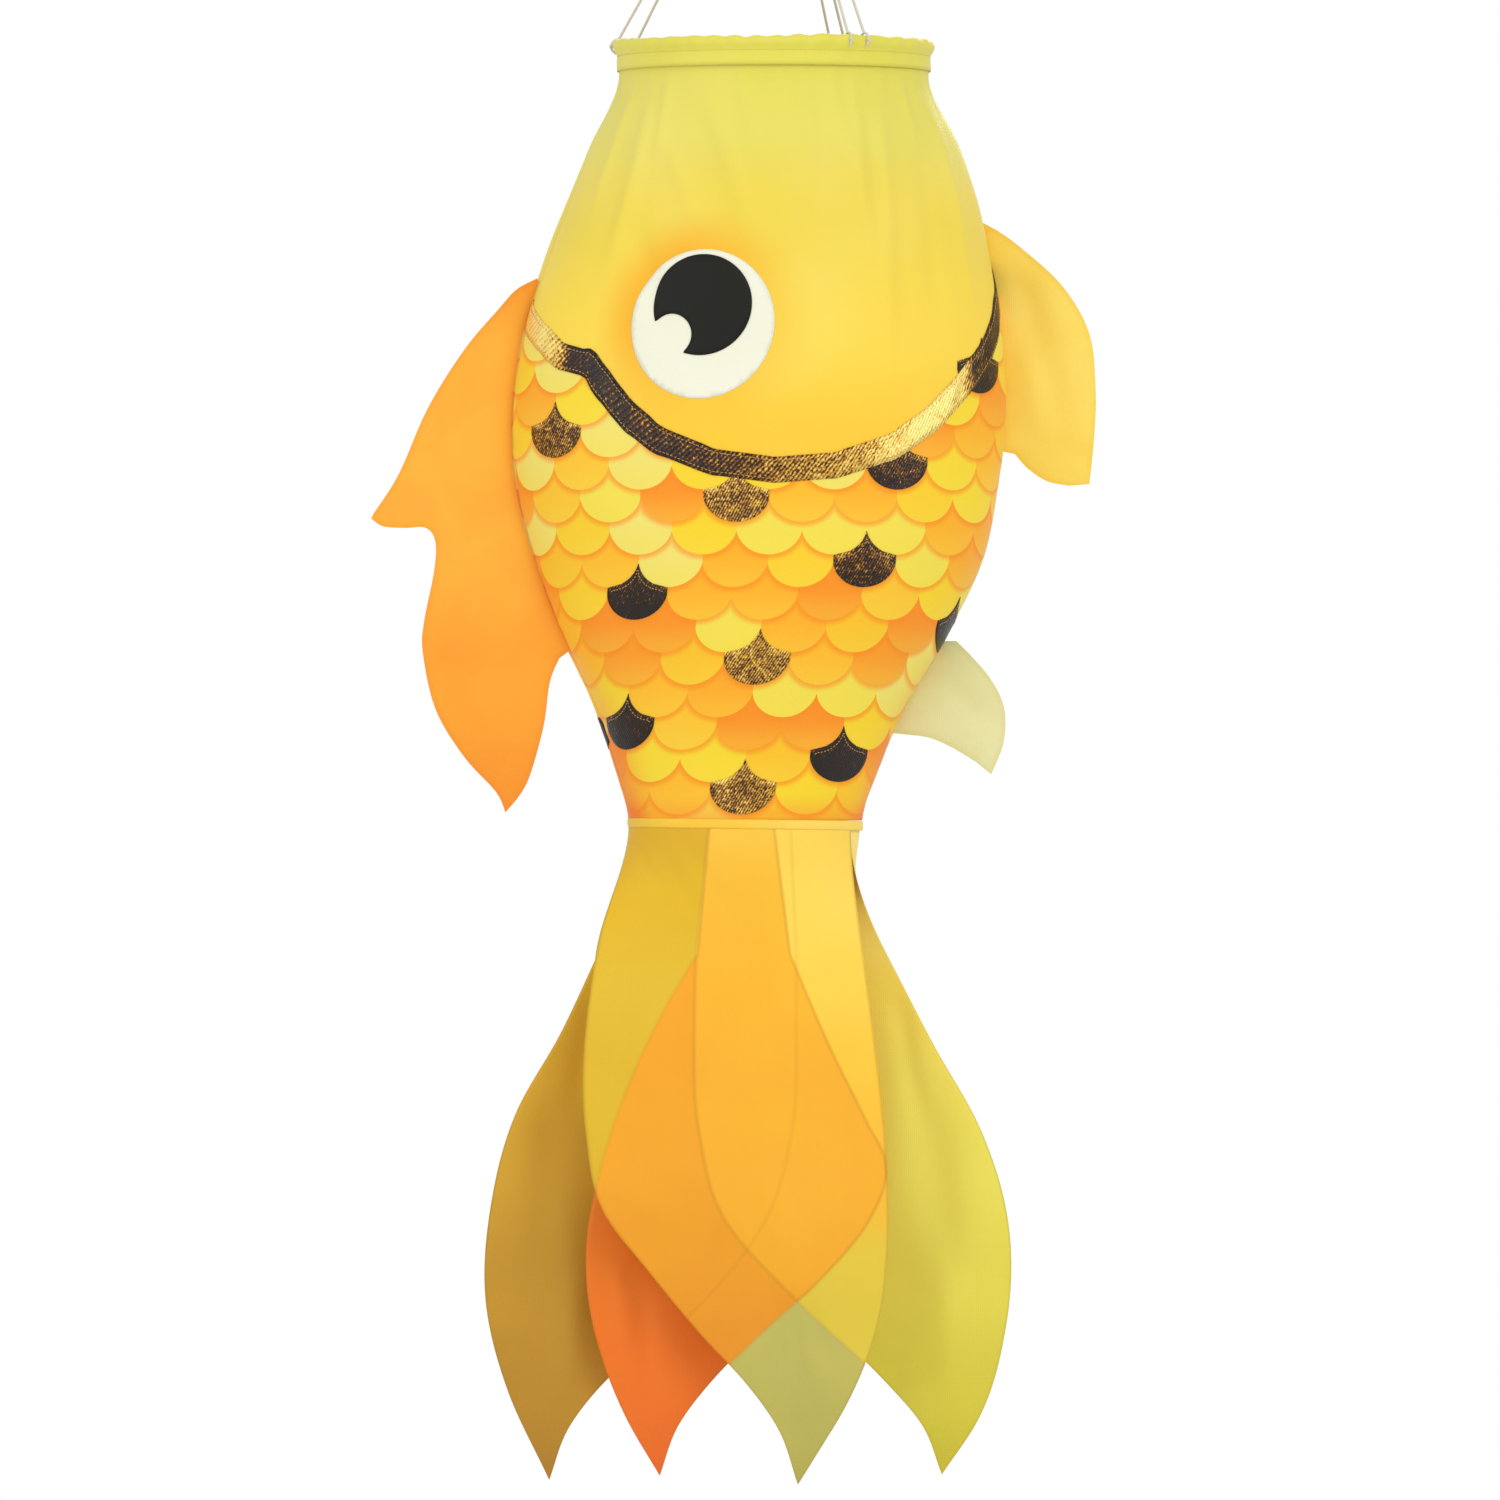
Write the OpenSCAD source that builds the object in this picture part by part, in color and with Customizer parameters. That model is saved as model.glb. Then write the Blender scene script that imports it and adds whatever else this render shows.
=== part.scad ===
/* [Mouth] */
// Diameter of the mouth hoop, to the middle of its rod
mouth_d = 196; // [192:1:204]
// Thickness of the hoop rod
hoop_rod_d = 3.2; // [2.6:0.1:3.4]
// Outer diameter of the joining sleeve over the hoop's two ends
ferrule_d = 4.8; // [4.4:0.1:5]
// Outer diameter of the cloth sleeve around the hoop
hem_d = 7.2; // [7.2:0.1:8]
// Height of the whole hem, from the rim to its line of stitches
hem_h = 12; // [11:0.5:12]

/* [Bridle] */
// Height of the hanging eye above the rim of the mouth
hang_h = 214; // [200:1:230]
// Thickness of the bridle cord
cord_d = 1.8; // [1.2:0.1:1.8]
// Length of each cut cord end below the knot
tail_l = 18; // [10:1:20]

/* [Swivel] */
// Hole in the eye that the streamer hangs from
hang_hole_d = 8; // [7:0.5:9]
// Thickness of the hanging eye
hang_eye_t = 2.4; // [2:0.2:3]
// Outer diameter of the swivel barrel
barrel_d = 7.2; // [7.2:0.2:9]
// Diameter of the swivel stem
stem_d = 2.2; // [2:0.1:2.2]
// Number of bearing balls
ball_count = 8; // [6:1:8]
// Diameter of the link ring, to the middle of its wire
link_d = 8.4; // [8.4:0.1:9]
// Thickness of the link ring's wire
link_wire_d = 1.6; // [1.4:0.1:1.6]

/* [Sock] */
// Thickness of each layer of cloth
cloth = 1; // [0.8:0.1:1]
// Turn of the two side seams about the upright axis, in degrees
seam_turn = 8; // [6:1:10]
// Height of the foil strip along the gill
gill_h = 17; // [14:1:20]
// Diameter of the eye disc
eye_d = 92; // [80:1:96]
// Diameter of the pupil disc
pupil_d = 63; // [50:1:66]
// Width of a foil scale
foil_scale_w = 40; // [34:1:42]
// Height of a foil scale, from its point to its round end
foil_scale_h = 34; // [28:1:36]
// Distance between the middles of two scales side by side
scale_pitch = 41; // [39:0.5:43]

/* [Tail] */
// Height of the band that joins the tail to the sock
band_h = 9; // [8:1:10]
// Distance from the rim to the line where the tail petals bend
petal_bend = 575; // [570:1:580]

/* [Hidden] */

// Sock sections: drop below the rim, half width, half depth, shift of the middle sideways
SOCK = [
    [hem_h, mouth_d / 2 - 1, mouth_d / 2 - 2, 0], [24, 97, 95, 0], [67, 116, 103, 0],
    [100, 128, 101, -1], [136, 139, 98, -4], [190, 152, 94, -8], [235, 155.5, 93, -10.5],
    [270, 153.5, 92, -11.5], [325, 142, 86, -10.5], [370, 123.5, 77, -12.5],
    [418, 98, 62, -15], [457, 83, 50, -17], [491, 73, 43, -18], [505, 73, 43, -18]
];
SOCK_END = 491;
// The band's middle stands below the sock's end, clear of the lowest foil scale
BAND_MIDDLE = SOCK_END + 1.5;
PANEL_COLUMNS = 24;
DORSAL_ANGLE = 180;
FAR = -1;
NEAR = 1;

// Places around the mouth where the six strands are hitched, and around the knot, in degrees
STRAND_FEET = [180, 153, 68, 62, -62, -55];
STRAND_HEADS = [210, 150, 90, 30, -90, -30];
STRAND_RINGS = 12;
STRAND_SIDES = 8;

// Gill line: drop of the strip's middle at each part of the way from the dorsal seam
GILL_LINE = [
    [0, 171], [0.02, 174.5], [0.1, 188], [0.155, 200], [0.21, 205], [0.247, 221],
    [0.281, 237], [0.326, 253], [0.4, 267], [0.48, 272], [0.56, 269], [0.64, 257],
    [0.7, 240], [0.76, 219], [0.82, 198], [0.9, 172], [1, 146]
];

// Middle of the eye and of the pupil: sideways place and drop
EYE_PLACE = [-45, 181];
PUPIL_PLACE = [-45, 170];

// Middle of the lowest scale: along the cloth from the side's middle line, and drop
FIRST_SCALE = [-13, 469];
// Foil scales: column and row of the printed scales, counted from the lowest one
FOIL_SCALES = [
    [0, 0], [1.5, 1], [-2, 2], [0, 4], [3.5, 5], [-2, 6], [1.5, 7], [-0.5, 9], [2, 10],
    [-3.5, 11], [3.5, 13]
];
ROW_PITCH = scale_pitch * 0.495;
ARC_STEPS = 12;

// Gap above the cloth under a patch that is sewn on
PATCH_GAP = 0.5;
PATCH_T = 0.6;
// The foil strip is sewn on over the scales, and the pupil over the eye
STRIP_LIFT = PATCH_T + 0.8;
PUPIL_LIFT = 2 * PATCH_T;
STRIP_COLUMNS = 24;
HALF_GIRTH = 390;

// How far a cutter runs past the face that it cuts
CUT = 1;
THROUGH = 12;

// Swivel heights
STEM_TOP = -5;
BARREL_TOP = -8.5;
BARREL_LOW = -18.5;
BALL_D = 1.5;
BALL_TRACK_D = 4;
TRACK_TOP = -10;
HEAD_D = 5.4;
HEAD_TOP = -11.6;
HEAD_T = 1.4;
CAVITY_D = 5.8;
CAVITY_LOW = -16;
RUNNING_GAP = 0.05;
EYE_WALL = 2.2;
LOW_EYE_Z = -22.2;
LOW_EYE_HOLE_D = 5;
LOW_EYE_D = 8;
LOW_EYE_T = 1.8;
LOW_STEM_D = 3.2;
LOW_STEM_FOOT = 3;
LINK_TOP_Z = LOW_EYE_Z - LOW_EYE_HOLE_D / 2 + link_wire_d / 2 + 0.1;
LINK_Z = LINK_TOP_Z - link_d / 2;
LOOP_D = 5.2;
LOOP_Z = LINK_Z - link_d / 2 + link_wire_d / 2 + cord_d / 2 + 0.15 - LOOP_D / 2;
KNOT_D = 6.8;
KNOT_Z = [-38.4, -41.6];
STRAND_TOP_Z = -43;
STRAND_TOP_R = 2.1;
TAIL_DROOP = 15;

// Hoop and hem
HOOP_SPLIT = 0.2;
FERRULE_START = 110;
FERRULE_TURN = 20;
HEM_TAIL = [-1.4, 0.6];
HITCH_GAP = 0.1;
HOLE_GAP = 0.7;

// Fin planes and fold lines: plane's distance from the middle, then a point on the
// line as sideways place and drop, and the line's lean sideways per unit of drop
DORSAL_PLANE = -12.5;
BREAST_PLANE = 12.5;
ANAL_PLANE = 9;
DORSAL_FOLD = [-168, 250, 0.12];
BREAST_FOLD = [147, 220, 0.06];
ANAL_FOLD = [114, 376, -0.6];
FOLD_GAP = 0.8;
OUTLINE_STEPS = 3;

// Petal layers, from the front to the back
FRONT_LAYER = -30;
INNER_LAYER = 2;
RIGHT_LAYER = 14;
LEFT_LAYER = 26;
PETAL_TOP = 493;
PETAL_GAP = 2;
ROOT_ROWS = 4;

// A point on the sock at an angle around it, a drop below the rim and a height off the cloth
function section(drop, column) = lookup(drop, [for (s = SOCK) [s[0], s[column]]]);
function wall(angle, drop, off) = [
    section(drop, 3) + (section(drop, 1) + off) * cos(angle),
    (section(drop, 2) + off) * sin(angle),
    -hang_h - drop
];

// Angle of the place that lies part of the way around one side, from the dorsal seam
function side_angle(part, side) = DORSAL_ANGLE + seam_turn + side * 180 * part;

// The same part of the way, for a place given sideways on the near side
function side_part(x, drop) =
    (180 - seam_turn - acos((x - section(drop, 3)) / section(drop, 1))) / 180;

// Millimetres of cloth that one degree takes up around the sock
function per_degree(angle, drop) =
    norm([section(drop, 1) * sin(angle), section(drop, 2) * cos(angle)]) * PI / 180;

// The angle that lies a distance along the cloth from another one
function along_cloth(angle, drop, distance, steps) = steps == 0 ? angle
    : along_cloth(angle + distance / steps / per_degree(angle, drop), drop,
        distance * (1 - 1 / steps), steps - 1);

function mix(a, b, t) = a * (1 - t) + b * t;
function ease(t) = t * t * (3 - 2 * t);

// A smooth curve through points
function smooth(p, steps) = concat(
    [for (i = [0:len(p) - 2], k = [0:steps - 1])
        let (t = k / steps, a = p[max(i - 1, 0)], b = p[i], c = p[i + 1],
            d = p[min(i + 2, len(p) - 1)])
        (2 * b + (c - a) * t + (2 * a - 5 * b + 4 * c - d) * t * t
            + (3 * b - a - 3 * c + d) * t * t * t) / 2],
    [p[len(p) - 1]]);

// A closed solid between two grids of points that have the same rows and columns
module slab(inner, outer) {
    rows = len(inner) - 1;
    columns = len(inner[0]) - 1;
    count = (rows + 1) * (columns + 1);
    points = [for (grid = [inner, outer]) for (row = grid) for (p = row) p];
    function at(i, j, layer) = layer * count + i * (columns + 1) + j;
    faces = concat(
        [for (i = [0:rows - 1], j = [0:columns - 1], half = [0, 1], layer = [0, 1])
            let (a = at(i, j, layer), b = at(i, j + 1, layer), c = at(i + 1, j + 1, layer),
                d = at(i + 1, j, layer), t = half == 0 ? [a, b, c] : [a, c, d])
            layer == 0 ? t : [t[2], t[1], t[0]]],
        [for (i = [0:rows - 1], j = [0, columns], half = [0, 1])
            let (a = at(i, j, 0), b = at(i + 1, j, 0), c = at(i + 1, j, 1), d = at(i, j, 1),
                t = half == 0 ? [a, b, c] : [a, c, d])
            j == 0 ? t : [t[2], t[1], t[0]]],
        [for (i = [0, rows], j = [0:columns - 1], half = [0, 1])
            let (a = at(i, j, 0), b = at(i, j + 1, 0), c = at(i, j + 1, 1), d = at(i, j, 1),
                t = half == 0 ? [a, b, c] : [a, c, d])
            i == 0 ? [t[2], t[1], t[0]] : t]);
    polyhedron(points, faces, convexity = 6);
}

// A piece of cloth that lies on the sock, from a grid of angles and drops
module on_wall(grid, low, high) {
    slab([for (row = grid) [for (p = row) wall(p[0], p[1], low)]],
        [for (row = grid) [for (p = row) wall(p[0], p[1], high)]]);
}

// A patch sewn on one side; on the far side the grid runs the other way round
module sewn(grid, side, lift) {
    low = cloth + PATCH_GAP + lift;
    if (side == NEAR) on_wall(grid, low, low + PATCH_T);
    else on_wall(grid, low + PATCH_T, low);
}

// Swivel
module eye_ring(hole_d, outer_d, thickness) {
    rotate([90, 0, 0]) difference() {
        cylinder(d = outer_d, h = thickness, center = true, $fn = 48);
        cylinder(d = hole_d, h = thickness + CUT, center = true, $fn = 48);
    }
}

module swivel_top_eye() {
    color("silver") difference() {
        union() {
            eye_ring(hang_hole_d, hang_hole_d + 2 * EYE_WALL, hang_eye_t);
            translate([0, 0, HEAD_TOP]) cylinder(d = stem_d, h = STEM_TOP - HEAD_TOP, $fn = 24);
            translate([0, 0, HEAD_TOP - HEAD_T]) cylinder(d = HEAD_D, h = HEAD_T, $fn = 36);
        }
        rotate([90, 0, 0]) cylinder(d = hang_hole_d, h = THROUGH, center = true, $fn = 48);
    }
}

module swivel_balls() {
    color("lightgray") for (k = [0:ball_count - 1])
        rotate([0, 0, 360 * k / ball_count])
            translate([BALL_TRACK_D / 2, 0, TRACK_TOP - RUNNING_GAP - BALL_D / 2])
                sphere(d = BALL_D, $fn = 24);
}

module swivel_barrel() {
    color("silver") difference() {
        translate([0, 0, BARREL_LOW])
            cylinder(d = barrel_d, h = BARREL_TOP - BARREL_LOW, $fn = 48);
        translate([0, 0, CAVITY_LOW])
            cylinder(d = CAVITY_D, h = TRACK_TOP - CAVITY_LOW, $fn = 48);
        translate([0, 0, TRACK_TOP - CUT]) cylinder(d = stem_d + 2 * RUNNING_GAP,
            h = BARREL_TOP - TRACK_TOP + 2 * CUT, $fn = 36);
        translate([0, 0, BARREL_LOW - CUT])
            cylinder(d = LOW_STEM_D, h = CAVITY_LOW - BARREL_LOW + 2 * CUT, $fn = 36);
    }
}

module swivel_bottom_eye() {
    color("silver") difference() {
        union() {
            translate([0, 0, LOW_EYE_Z]) eye_ring(LOW_EYE_HOLE_D, LOW_EYE_D, LOW_EYE_T);
            translate([0, 0, LOW_EYE_Z + LOW_STEM_FOOT]) cylinder(d = LOW_STEM_D,
                h = CAVITY_LOW - LOW_EYE_Z - LOW_STEM_FOOT, $fn = 36);
        }
        translate([0, 0, LOW_EYE_Z]) rotate([90, 0, 0])
            cylinder(d = LOW_EYE_HOLE_D, h = THROUGH, center = true, $fn = 48);
    }
}

module ring(middle_d, wire_d) {
    rotate_extrude($fn = 48) translate([middle_d / 2, 0]) circle(d = wire_d, $fn = 20);
}

module link_ring() {
    color("silver") translate([0, 0, LINK_Z]) rotate([0, 90, 0]) ring(link_d, link_wire_d);
}

// Bridle
module bridle_loop() {
    color("ivory") translate([0, 0, LOOP_Z]) rotate([90, 0, 0]) ring(LOOP_D, cord_d);
}

module bridle_knot() {
    color("ivory") difference() {
        union() {
            for (z = KNOT_Z) translate([0, 0, z]) sphere(d = KNOT_D, $fn = 32);
            for (angle = [0:60:300]) rotate([0, 0, angle + 30])
                translate([0, 0, KNOT_Z[1]]) rotate([0, 90 + TAIL_DROOP, 0])
                    cylinder(d = cord_d, h = tail_l, $fn = 16);
        }
        translate([0, 0, LOOP_Z]) rotate([90, 0, 0]) ring(LOOP_D, cord_d + 0.02);
    }
}

function around(r, angle, z) = [r * cos(angle), r * sin(angle), z];

module bridle_strand(k) {
    foot = around(mouth_d / 2, STRAND_FEET[k], -hang_h + 0.6);
    head = around(STRAND_TOP_R, STRAND_HEADS[k], STRAND_TOP_Z);
    along = (head - foot) / norm(head - foot);
    across = cross(along, [0, 0, 1]) / norm(cross(along, [0, 0, 1]));
    up = cross(along, across);
    points = [for (i = [0:STRAND_RINGS], j = [0:STRAND_SIDES - 1])
        let (turn = 360 * j / STRAND_SIDES)
        mix(foot, head, i / STRAND_RINGS)
            + cord_d / 2 * (cos(turn) * across + sin(turn) * up)];
    tube = [for (i = [0:STRAND_RINGS - 1], j = [0:STRAND_SIDES - 1])
        let (n = (j + 1) % STRAND_SIDES, low = i * STRAND_SIDES, high = low + STRAND_SIDES)
        [high + j, high + n, low + n, low + j]];
    last = STRAND_RINGS * STRAND_SIDES;
    ends = [
        [for (j = [0:STRAND_SIDES - 1]) j],
        [for (j = [STRAND_SIDES - 1:-1:0]) last + j]
    ];
    color("ivory") polyhedron(points, concat(tube, ends), convexity = 2);
}

module at_hitches() {
    for (angle = STRAND_FEET) rotate([0, 0, angle])
        translate([mouth_d / 2, 0, -hang_h - hem_d / 2]) children();
}

module hoop_hitches() {
    color("ivory") at_hitches()
        rotate([90, 0, 0]) ring(hem_d + cord_d + 2 * HITCH_GAP, cord_d);
}

// Mouth
module mouth_hoop() {
    color("white") translate([0, 0, -hang_h - hem_d / 2]) difference() {
        rotate_extrude($fn = 96) translate([mouth_d / 2, 0]) circle(d = hoop_rod_d, $fn = 24);
        rotate([0, 0, FERRULE_START + FERRULE_TURN / 2]) translate([mouth_d / 2, 0, 0])
            cube([2 * hoop_rod_d, HOOP_SPLIT, 2 * hoop_rod_d], center = true);
    }
}

module hoop_ferrule() {
    color("peru") translate([0, 0, -hang_h - hem_d / 2]) rotate([0, 0, FERRULE_START])
        rotate_extrude(angle = FERRULE_TURN, $fn = 96) translate([mouth_d / 2, 0]) difference() {
            circle(d = ferrule_d, $fn = 24);
            circle(d = hoop_rod_d + 2 * RUNNING_GAP, $fn = 24);
        }
}

module mouth_hem() {
    r = hem_d / 2;
    outline = concat(
        [for (a = [-50:20:230]) r * [cos(a), sin(a)]],
        [[HEM_TAIL[0], -hem_h + r], [HEM_TAIL[1], -hem_h + r]]);
    color("khaki") difference() {
        translate([0, 0, -hang_h - r]) rotate_extrude($fn = 96) translate([mouth_d / 2, 0])
            difference() {
                polygon(outline);
                circle(r = r - cloth, $fn = 24);
            }
        at_hitches() translate([0, 0, -(r + cord_d / 2 + HITCH_GAP)]) rotate([0, 90, 0])
            cylinder(d = cord_d + 2 * HOLE_GAP, h = THROUGH, center = true, $fn = 24);
    }
}

// Printed side panels, with the foil strip, eye and foil scales sewn on each
module side_panel(side) {
    grid = [for (s = SOCK) if (s[0] <= SOCK_END)
        [for (j = [0:PANEL_COLUMNS]) [side_angle(j / PANEL_COLUMNS, side), s[0]]]];
    if (side == NEAR) on_wall(grid, 0, cloth);
    else on_wall(grid, cloth, 0);
}

module side_panel_near() { color("orange") side_panel(NEAR); }
module side_panel_far() { color("orange") side_panel(FAR); }

// The strip's upright height grows where the gill line is steep
function gill_steepness(part) =
    (lookup(part + 0.01, GILL_LINE) - lookup(part - 0.01, GILL_LINE)) / (0.02 * HALF_GIRTH);

module gill_band(side) {
    sewn([for (row = [-0.5, 0.5]) [for (j = [0:STRIP_COLUMNS])
        let (part = mix(0.01, 0.99, j / STRIP_COLUMNS), steepness = gill_steepness(part))
        [side_angle(part, side),
            lookup(part, GILL_LINE) + row * gill_h * sqrt(1 + steepness * steepness)]]],
        side, STRIP_LIFT);
}

module gill_band_near() { color("goldenrod") gill_band(NEAR); }
module gill_band_far() { color("goldenrod") gill_band(FAR); }

// A flat outline laid on one side of the sock around an angle and a drop, given as a grid
// of places across and down
module sewn_patch(angle, drop, grid, side, lift) {
    sewn([for (row = grid) [for (p = row)
        [angle + side * p[0] / per_degree(angle, drop + p[1]), drop + p[1]]]], side, lift);
}

module sewn_disc(place, d, n, side, lift) {
    angle = side_angle(side_part(place[0], place[1]), side);
    sewn_patch(angle, place[1], disc(d, n), side, lift);
}

function disc(d, n) = [for (i = [0:n]) [for (j = [0:n])
    let (u = 2 * j / n - 1, v = 2 * i / n - 1)
    d / 2 * [u * sqrt(1 - v * v / 2), v * sqrt(1 - u * u / 2)]]];

module eye_near() { color("ivory") sewn_disc(EYE_PLACE, eye_d, 8, NEAR, 0); }
module eye_far() { color("ivory") sewn_disc(EYE_PLACE, eye_d, 8, FAR, 0); }
module pupil_near() { color("black") sewn_disc(PUPIL_PLACE, pupil_d, 6, NEAR, PUPIL_LIFT); }
module pupil_far() { color("black") sewn_disc(PUPIL_PLACE, pupil_d, 6, FAR, PUPIL_LIFT); }

// A scale's half width on its way down: hollow shoulders under a point, then a round end
function scale_half(t) =
    t < 0.45 ? 1.04 - sqrt(1 - pow(t / 0.45, 2)) : sqrt(1.01 - pow((t - 0.45) / 0.55, 2));

module foil_scales(side) {
    rows = 5;
    grid = [for (i = [0:rows]) [for (j = [-1:0.5:1])
        [j * foil_scale_w / 2 * scale_half(i / rows), foil_scale_h * (i / rows - 0.5)]]];
    for (place = FOIL_SCALES) {
        drop = FIRST_SCALE[1] - place[1] * ROW_PITCH;
        angle = along_cloth(side_angle(0.5, side), drop,
            side * (FIRST_SCALE[0] + place[0] * scale_pitch), ARC_STEPS);
        sewn_patch(angle, drop, grid, side, 0);
    }
}

module foil_scales_near() { color("gold") foil_scales(NEAR); }
module foil_scales_far() { color("gold") foil_scales(FAR); }

module tail_band() {
    columns = 40;
    low = cloth + 0.3;
    module half(start) {
        grid = [for (i = [0:1]) [for (j = [0:columns / 2])
            [start + 360 * j / columns, BAND_MIDDLE + (i - 0.5) * band_h]]];
        on_wall(grid, low, low + cloth);
    }
    color("khaki") for (start = [0, 180]) half(start);
}

// Fins: each is one flat piece of doubled cloth, sewn into a side seam and folding
// along a straight line just off the sock
function fold_x(fold, drop) = fold[0] + fold[2] * (drop - fold[1]);

// The sock's own edge in a fin's plane, half way into the cloth
function edge_x(plane, drop, way) = section(drop, 3) + way * (section(drop, 1) + cloth / 2)
    * sqrt(1 - pow(plane / (section(drop, 2) + cloth / 2), 2));

function root_edge(plane, way, from, to) =
    [for (k = [0:12]) let (d = mix(from, to, k / 12)) [edge_x(plane, d, way), d]];

// Cuts a fin's outline along its fold; way is -1 for the left side and 1 for the right,
// and part is 1 for the blade and -1 for the strip at the seam
module fin_part(outline, plane, fold, way, part) {
    long = 700;
    gap = way * part * FOLD_GAP;
    far = way * part * 300;
    keep = [for (d = [0, long]) [fold_x(fold, d) + gap, d]];
    beyond = [for (d = [long, 0]) [fold_x(fold, d) + far, d]];
    translate([0, plane, -hang_h]) rotate([90, 0, 0]) mirror([0, 1, 0])
        linear_extrude(height = cloth, center = true) intersection() {
            polygon(outline);
            polygon(concat(keep, beyond));
        }
}

DORSAL_OUTLINE = concat(
    smooth([[-149, 150], [-162, 157], [-173, 169], [-195, 195], [-218, 232], [-236, 273],
        [-252, 298]], OUTLINE_STEPS),
    smooth([[-246, 306], [-232, 307], [-219, 307], [-213, 316], [-214, 335], [-220, 365],
        [-221, 385], [-213, 421], [-195, 451], [-175, 473], [-169, 486]], OUTLINE_STEPS),
    smooth([[-162, 478], [-154, 464], [-145, 432], [-141, 404], [-135, 389]], OUTLINE_STEPS),
    root_edge(DORSAL_PLANE, -1, 384, 152));
BREAST_OUTLINE = concat(
    smooth([[141, 119], [156, 130], [182, 154], [199, 184], [203, 220], [202, 250],
        [199, 279]], OUTLINE_STEPS),
    smooth([[186, 280], [172, 277], [160, 269], [152, 260]], OUTLINE_STEPS),
    root_edge(BREAST_PLANE, 1, 258, 113));
ANAL_OUTLINE = concat(
    smooth([[115, 378], [124, 387], [136, 401], [144, 416], [146, 430], [144, 445],
        [137, 462]], OUTLINE_STEPS),
    smooth([[127, 454], [112, 445], [98, 439], [84, 437]], OUTLINE_STEPS),
    root_edge(ANAL_PLANE, 1, 436, 378));

module dorsal_fin_root() {
    color("darkorange") fin_part(DORSAL_OUTLINE, DORSAL_PLANE, DORSAL_FOLD, -1, -1);
}
module dorsal_fin() {
    color("darkorange") fin_part(DORSAL_OUTLINE, DORSAL_PLANE, DORSAL_FOLD, -1, 1);
}
module breast_fin_root() {
    color("gold") fin_part(BREAST_OUTLINE, BREAST_PLANE, BREAST_FOLD, 1, -1);
}
module breast_fin() {
    color("gold") fin_part(BREAST_OUTLINE, BREAST_PLANE, BREAST_FOLD, 1, 1);
}
module anal_fin_root() {
    color("palegoldenrod") fin_part(ANAL_OUTLINE, ANAL_PLANE, ANAL_FOLD, 1, -1);
}
module anal_fin() {
    color("palegoldenrod") fin_part(ANAL_OUTLINE, ANAL_PLANE, ANAL_FOLD, 1, 1);
}

// Tail petals: the top of each is curved to the band and flattens down to the bend line
module petal_root(angles, edges, layer, off) {
    columns = 16;
    way = layer < 0 ? -1 : 1;
    function sheet(depth) = [for (i = [0:ROOT_ROWS]) [for (j = [0:columns])
        let (s = j / columns, t = ease(i / ROOT_ROWS),
            top = wall(mix(angles[0], angles[1], s), PETAL_TOP, off + depth),
            low = [mix(edges[0], edges[1], s), layer + way * depth, 0])
        [mix(top[0], low[0], t), mix(top[1], low[1], t),
            -hang_h - mix(PETAL_TOP, petal_bend - PETAL_GAP, i / ROOT_ROWS)]]];
    if (way < 0) slab(sheet(0), sheet(cloth));
    else slab(sheet(cloth), sheet(0));
}

module petal_blade(left_edge, right_edge, layer) {
    outline = concat(smooth(left_edge, OUTLINE_STEPS), smooth(right_edge, OUTLINE_STEPS));
    way = layer < 0 ? -1 : 1;
    translate([0, layer + way * cloth / 2, -hang_h]) rotate([90, 0, 0]) mirror([0, 1, 0])
        linear_extrude(height = cloth, center = true) polygon(outline);
}

BLADE_TOP = petal_bend + PETAL_GAP;

module front_petal_root() {
    color("gold") petal_root([181, 334], [-112, 56], FRONT_LAYER, 0);
}
module front_petal() {
    color("darkkhaki") petal_blade(
        [[-112, BLADE_TOP], [-118, 620], [-120, 650], [-118, 690], [-107, 737], [-79, 774],
            [-45, 815], [-18, 844], [2, 872], [15, 908]],
        [[25, 892], [47, 855], [67, 800], [71, 766], [70, 694], [64, 636], [56, BLADE_TOP]],
        FRONT_LAYER);
}
module inner_petal_root() {
    color("orange") petal_root([105, 75], [-48, 10], INNER_LAYER, -2.8);
}
module inner_petal() {
    color("darkorange") petal_blade(
        [[-48, BLADE_TOP], [-60, 594], [-87, 647], [-108, 706], [-118, 755], [-116, 800],
            [-110, 825], [-93, 868], [-72, 904]],
        [[-60, 872], [-37, 842], [-11, 816], [29, 779], [59, 743], [70, 705], [58, 680],
            [33, 629], [10, BLADE_TOP]],
        INNER_LAYER);
}
module right_petal_root() {
    color("khaki") petal_root([105, -25], [-49, 71], RIGHT_LAYER, -1.4);
}
module right_petal() {
    color("khaki") petal_blade(
        [[-49, BLADE_TOP], [-50, 616], [-47, 687], [-30, 743], [13, 791], [69, 844],
            [93, 872], [106, 904]],
        [[128, 871], [146, 813], [147, 739], [130, 685], [101, 633], [71, BLADE_TOP]],
        RIGHT_LAYER);
}
module left_petal_root() {
    color("goldenrod") petal_root([179, 75], [-111, 14], LEFT_LAYER, 0);
}
module left_petal() {
    color("goldenrod") petal_blade(
        [[-111, BLADE_TOP], [-135, 626], [-163, 676], [-179, 735], [-182, 796], [-168, 852],
            [-142, 908]],
        [[-129, 874], [-103, 842], [-57, 805], [-6, 743], [11, 687], [14, 616],
            [14, BLADE_TOP]],
        LEFT_LAYER);
}

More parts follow.
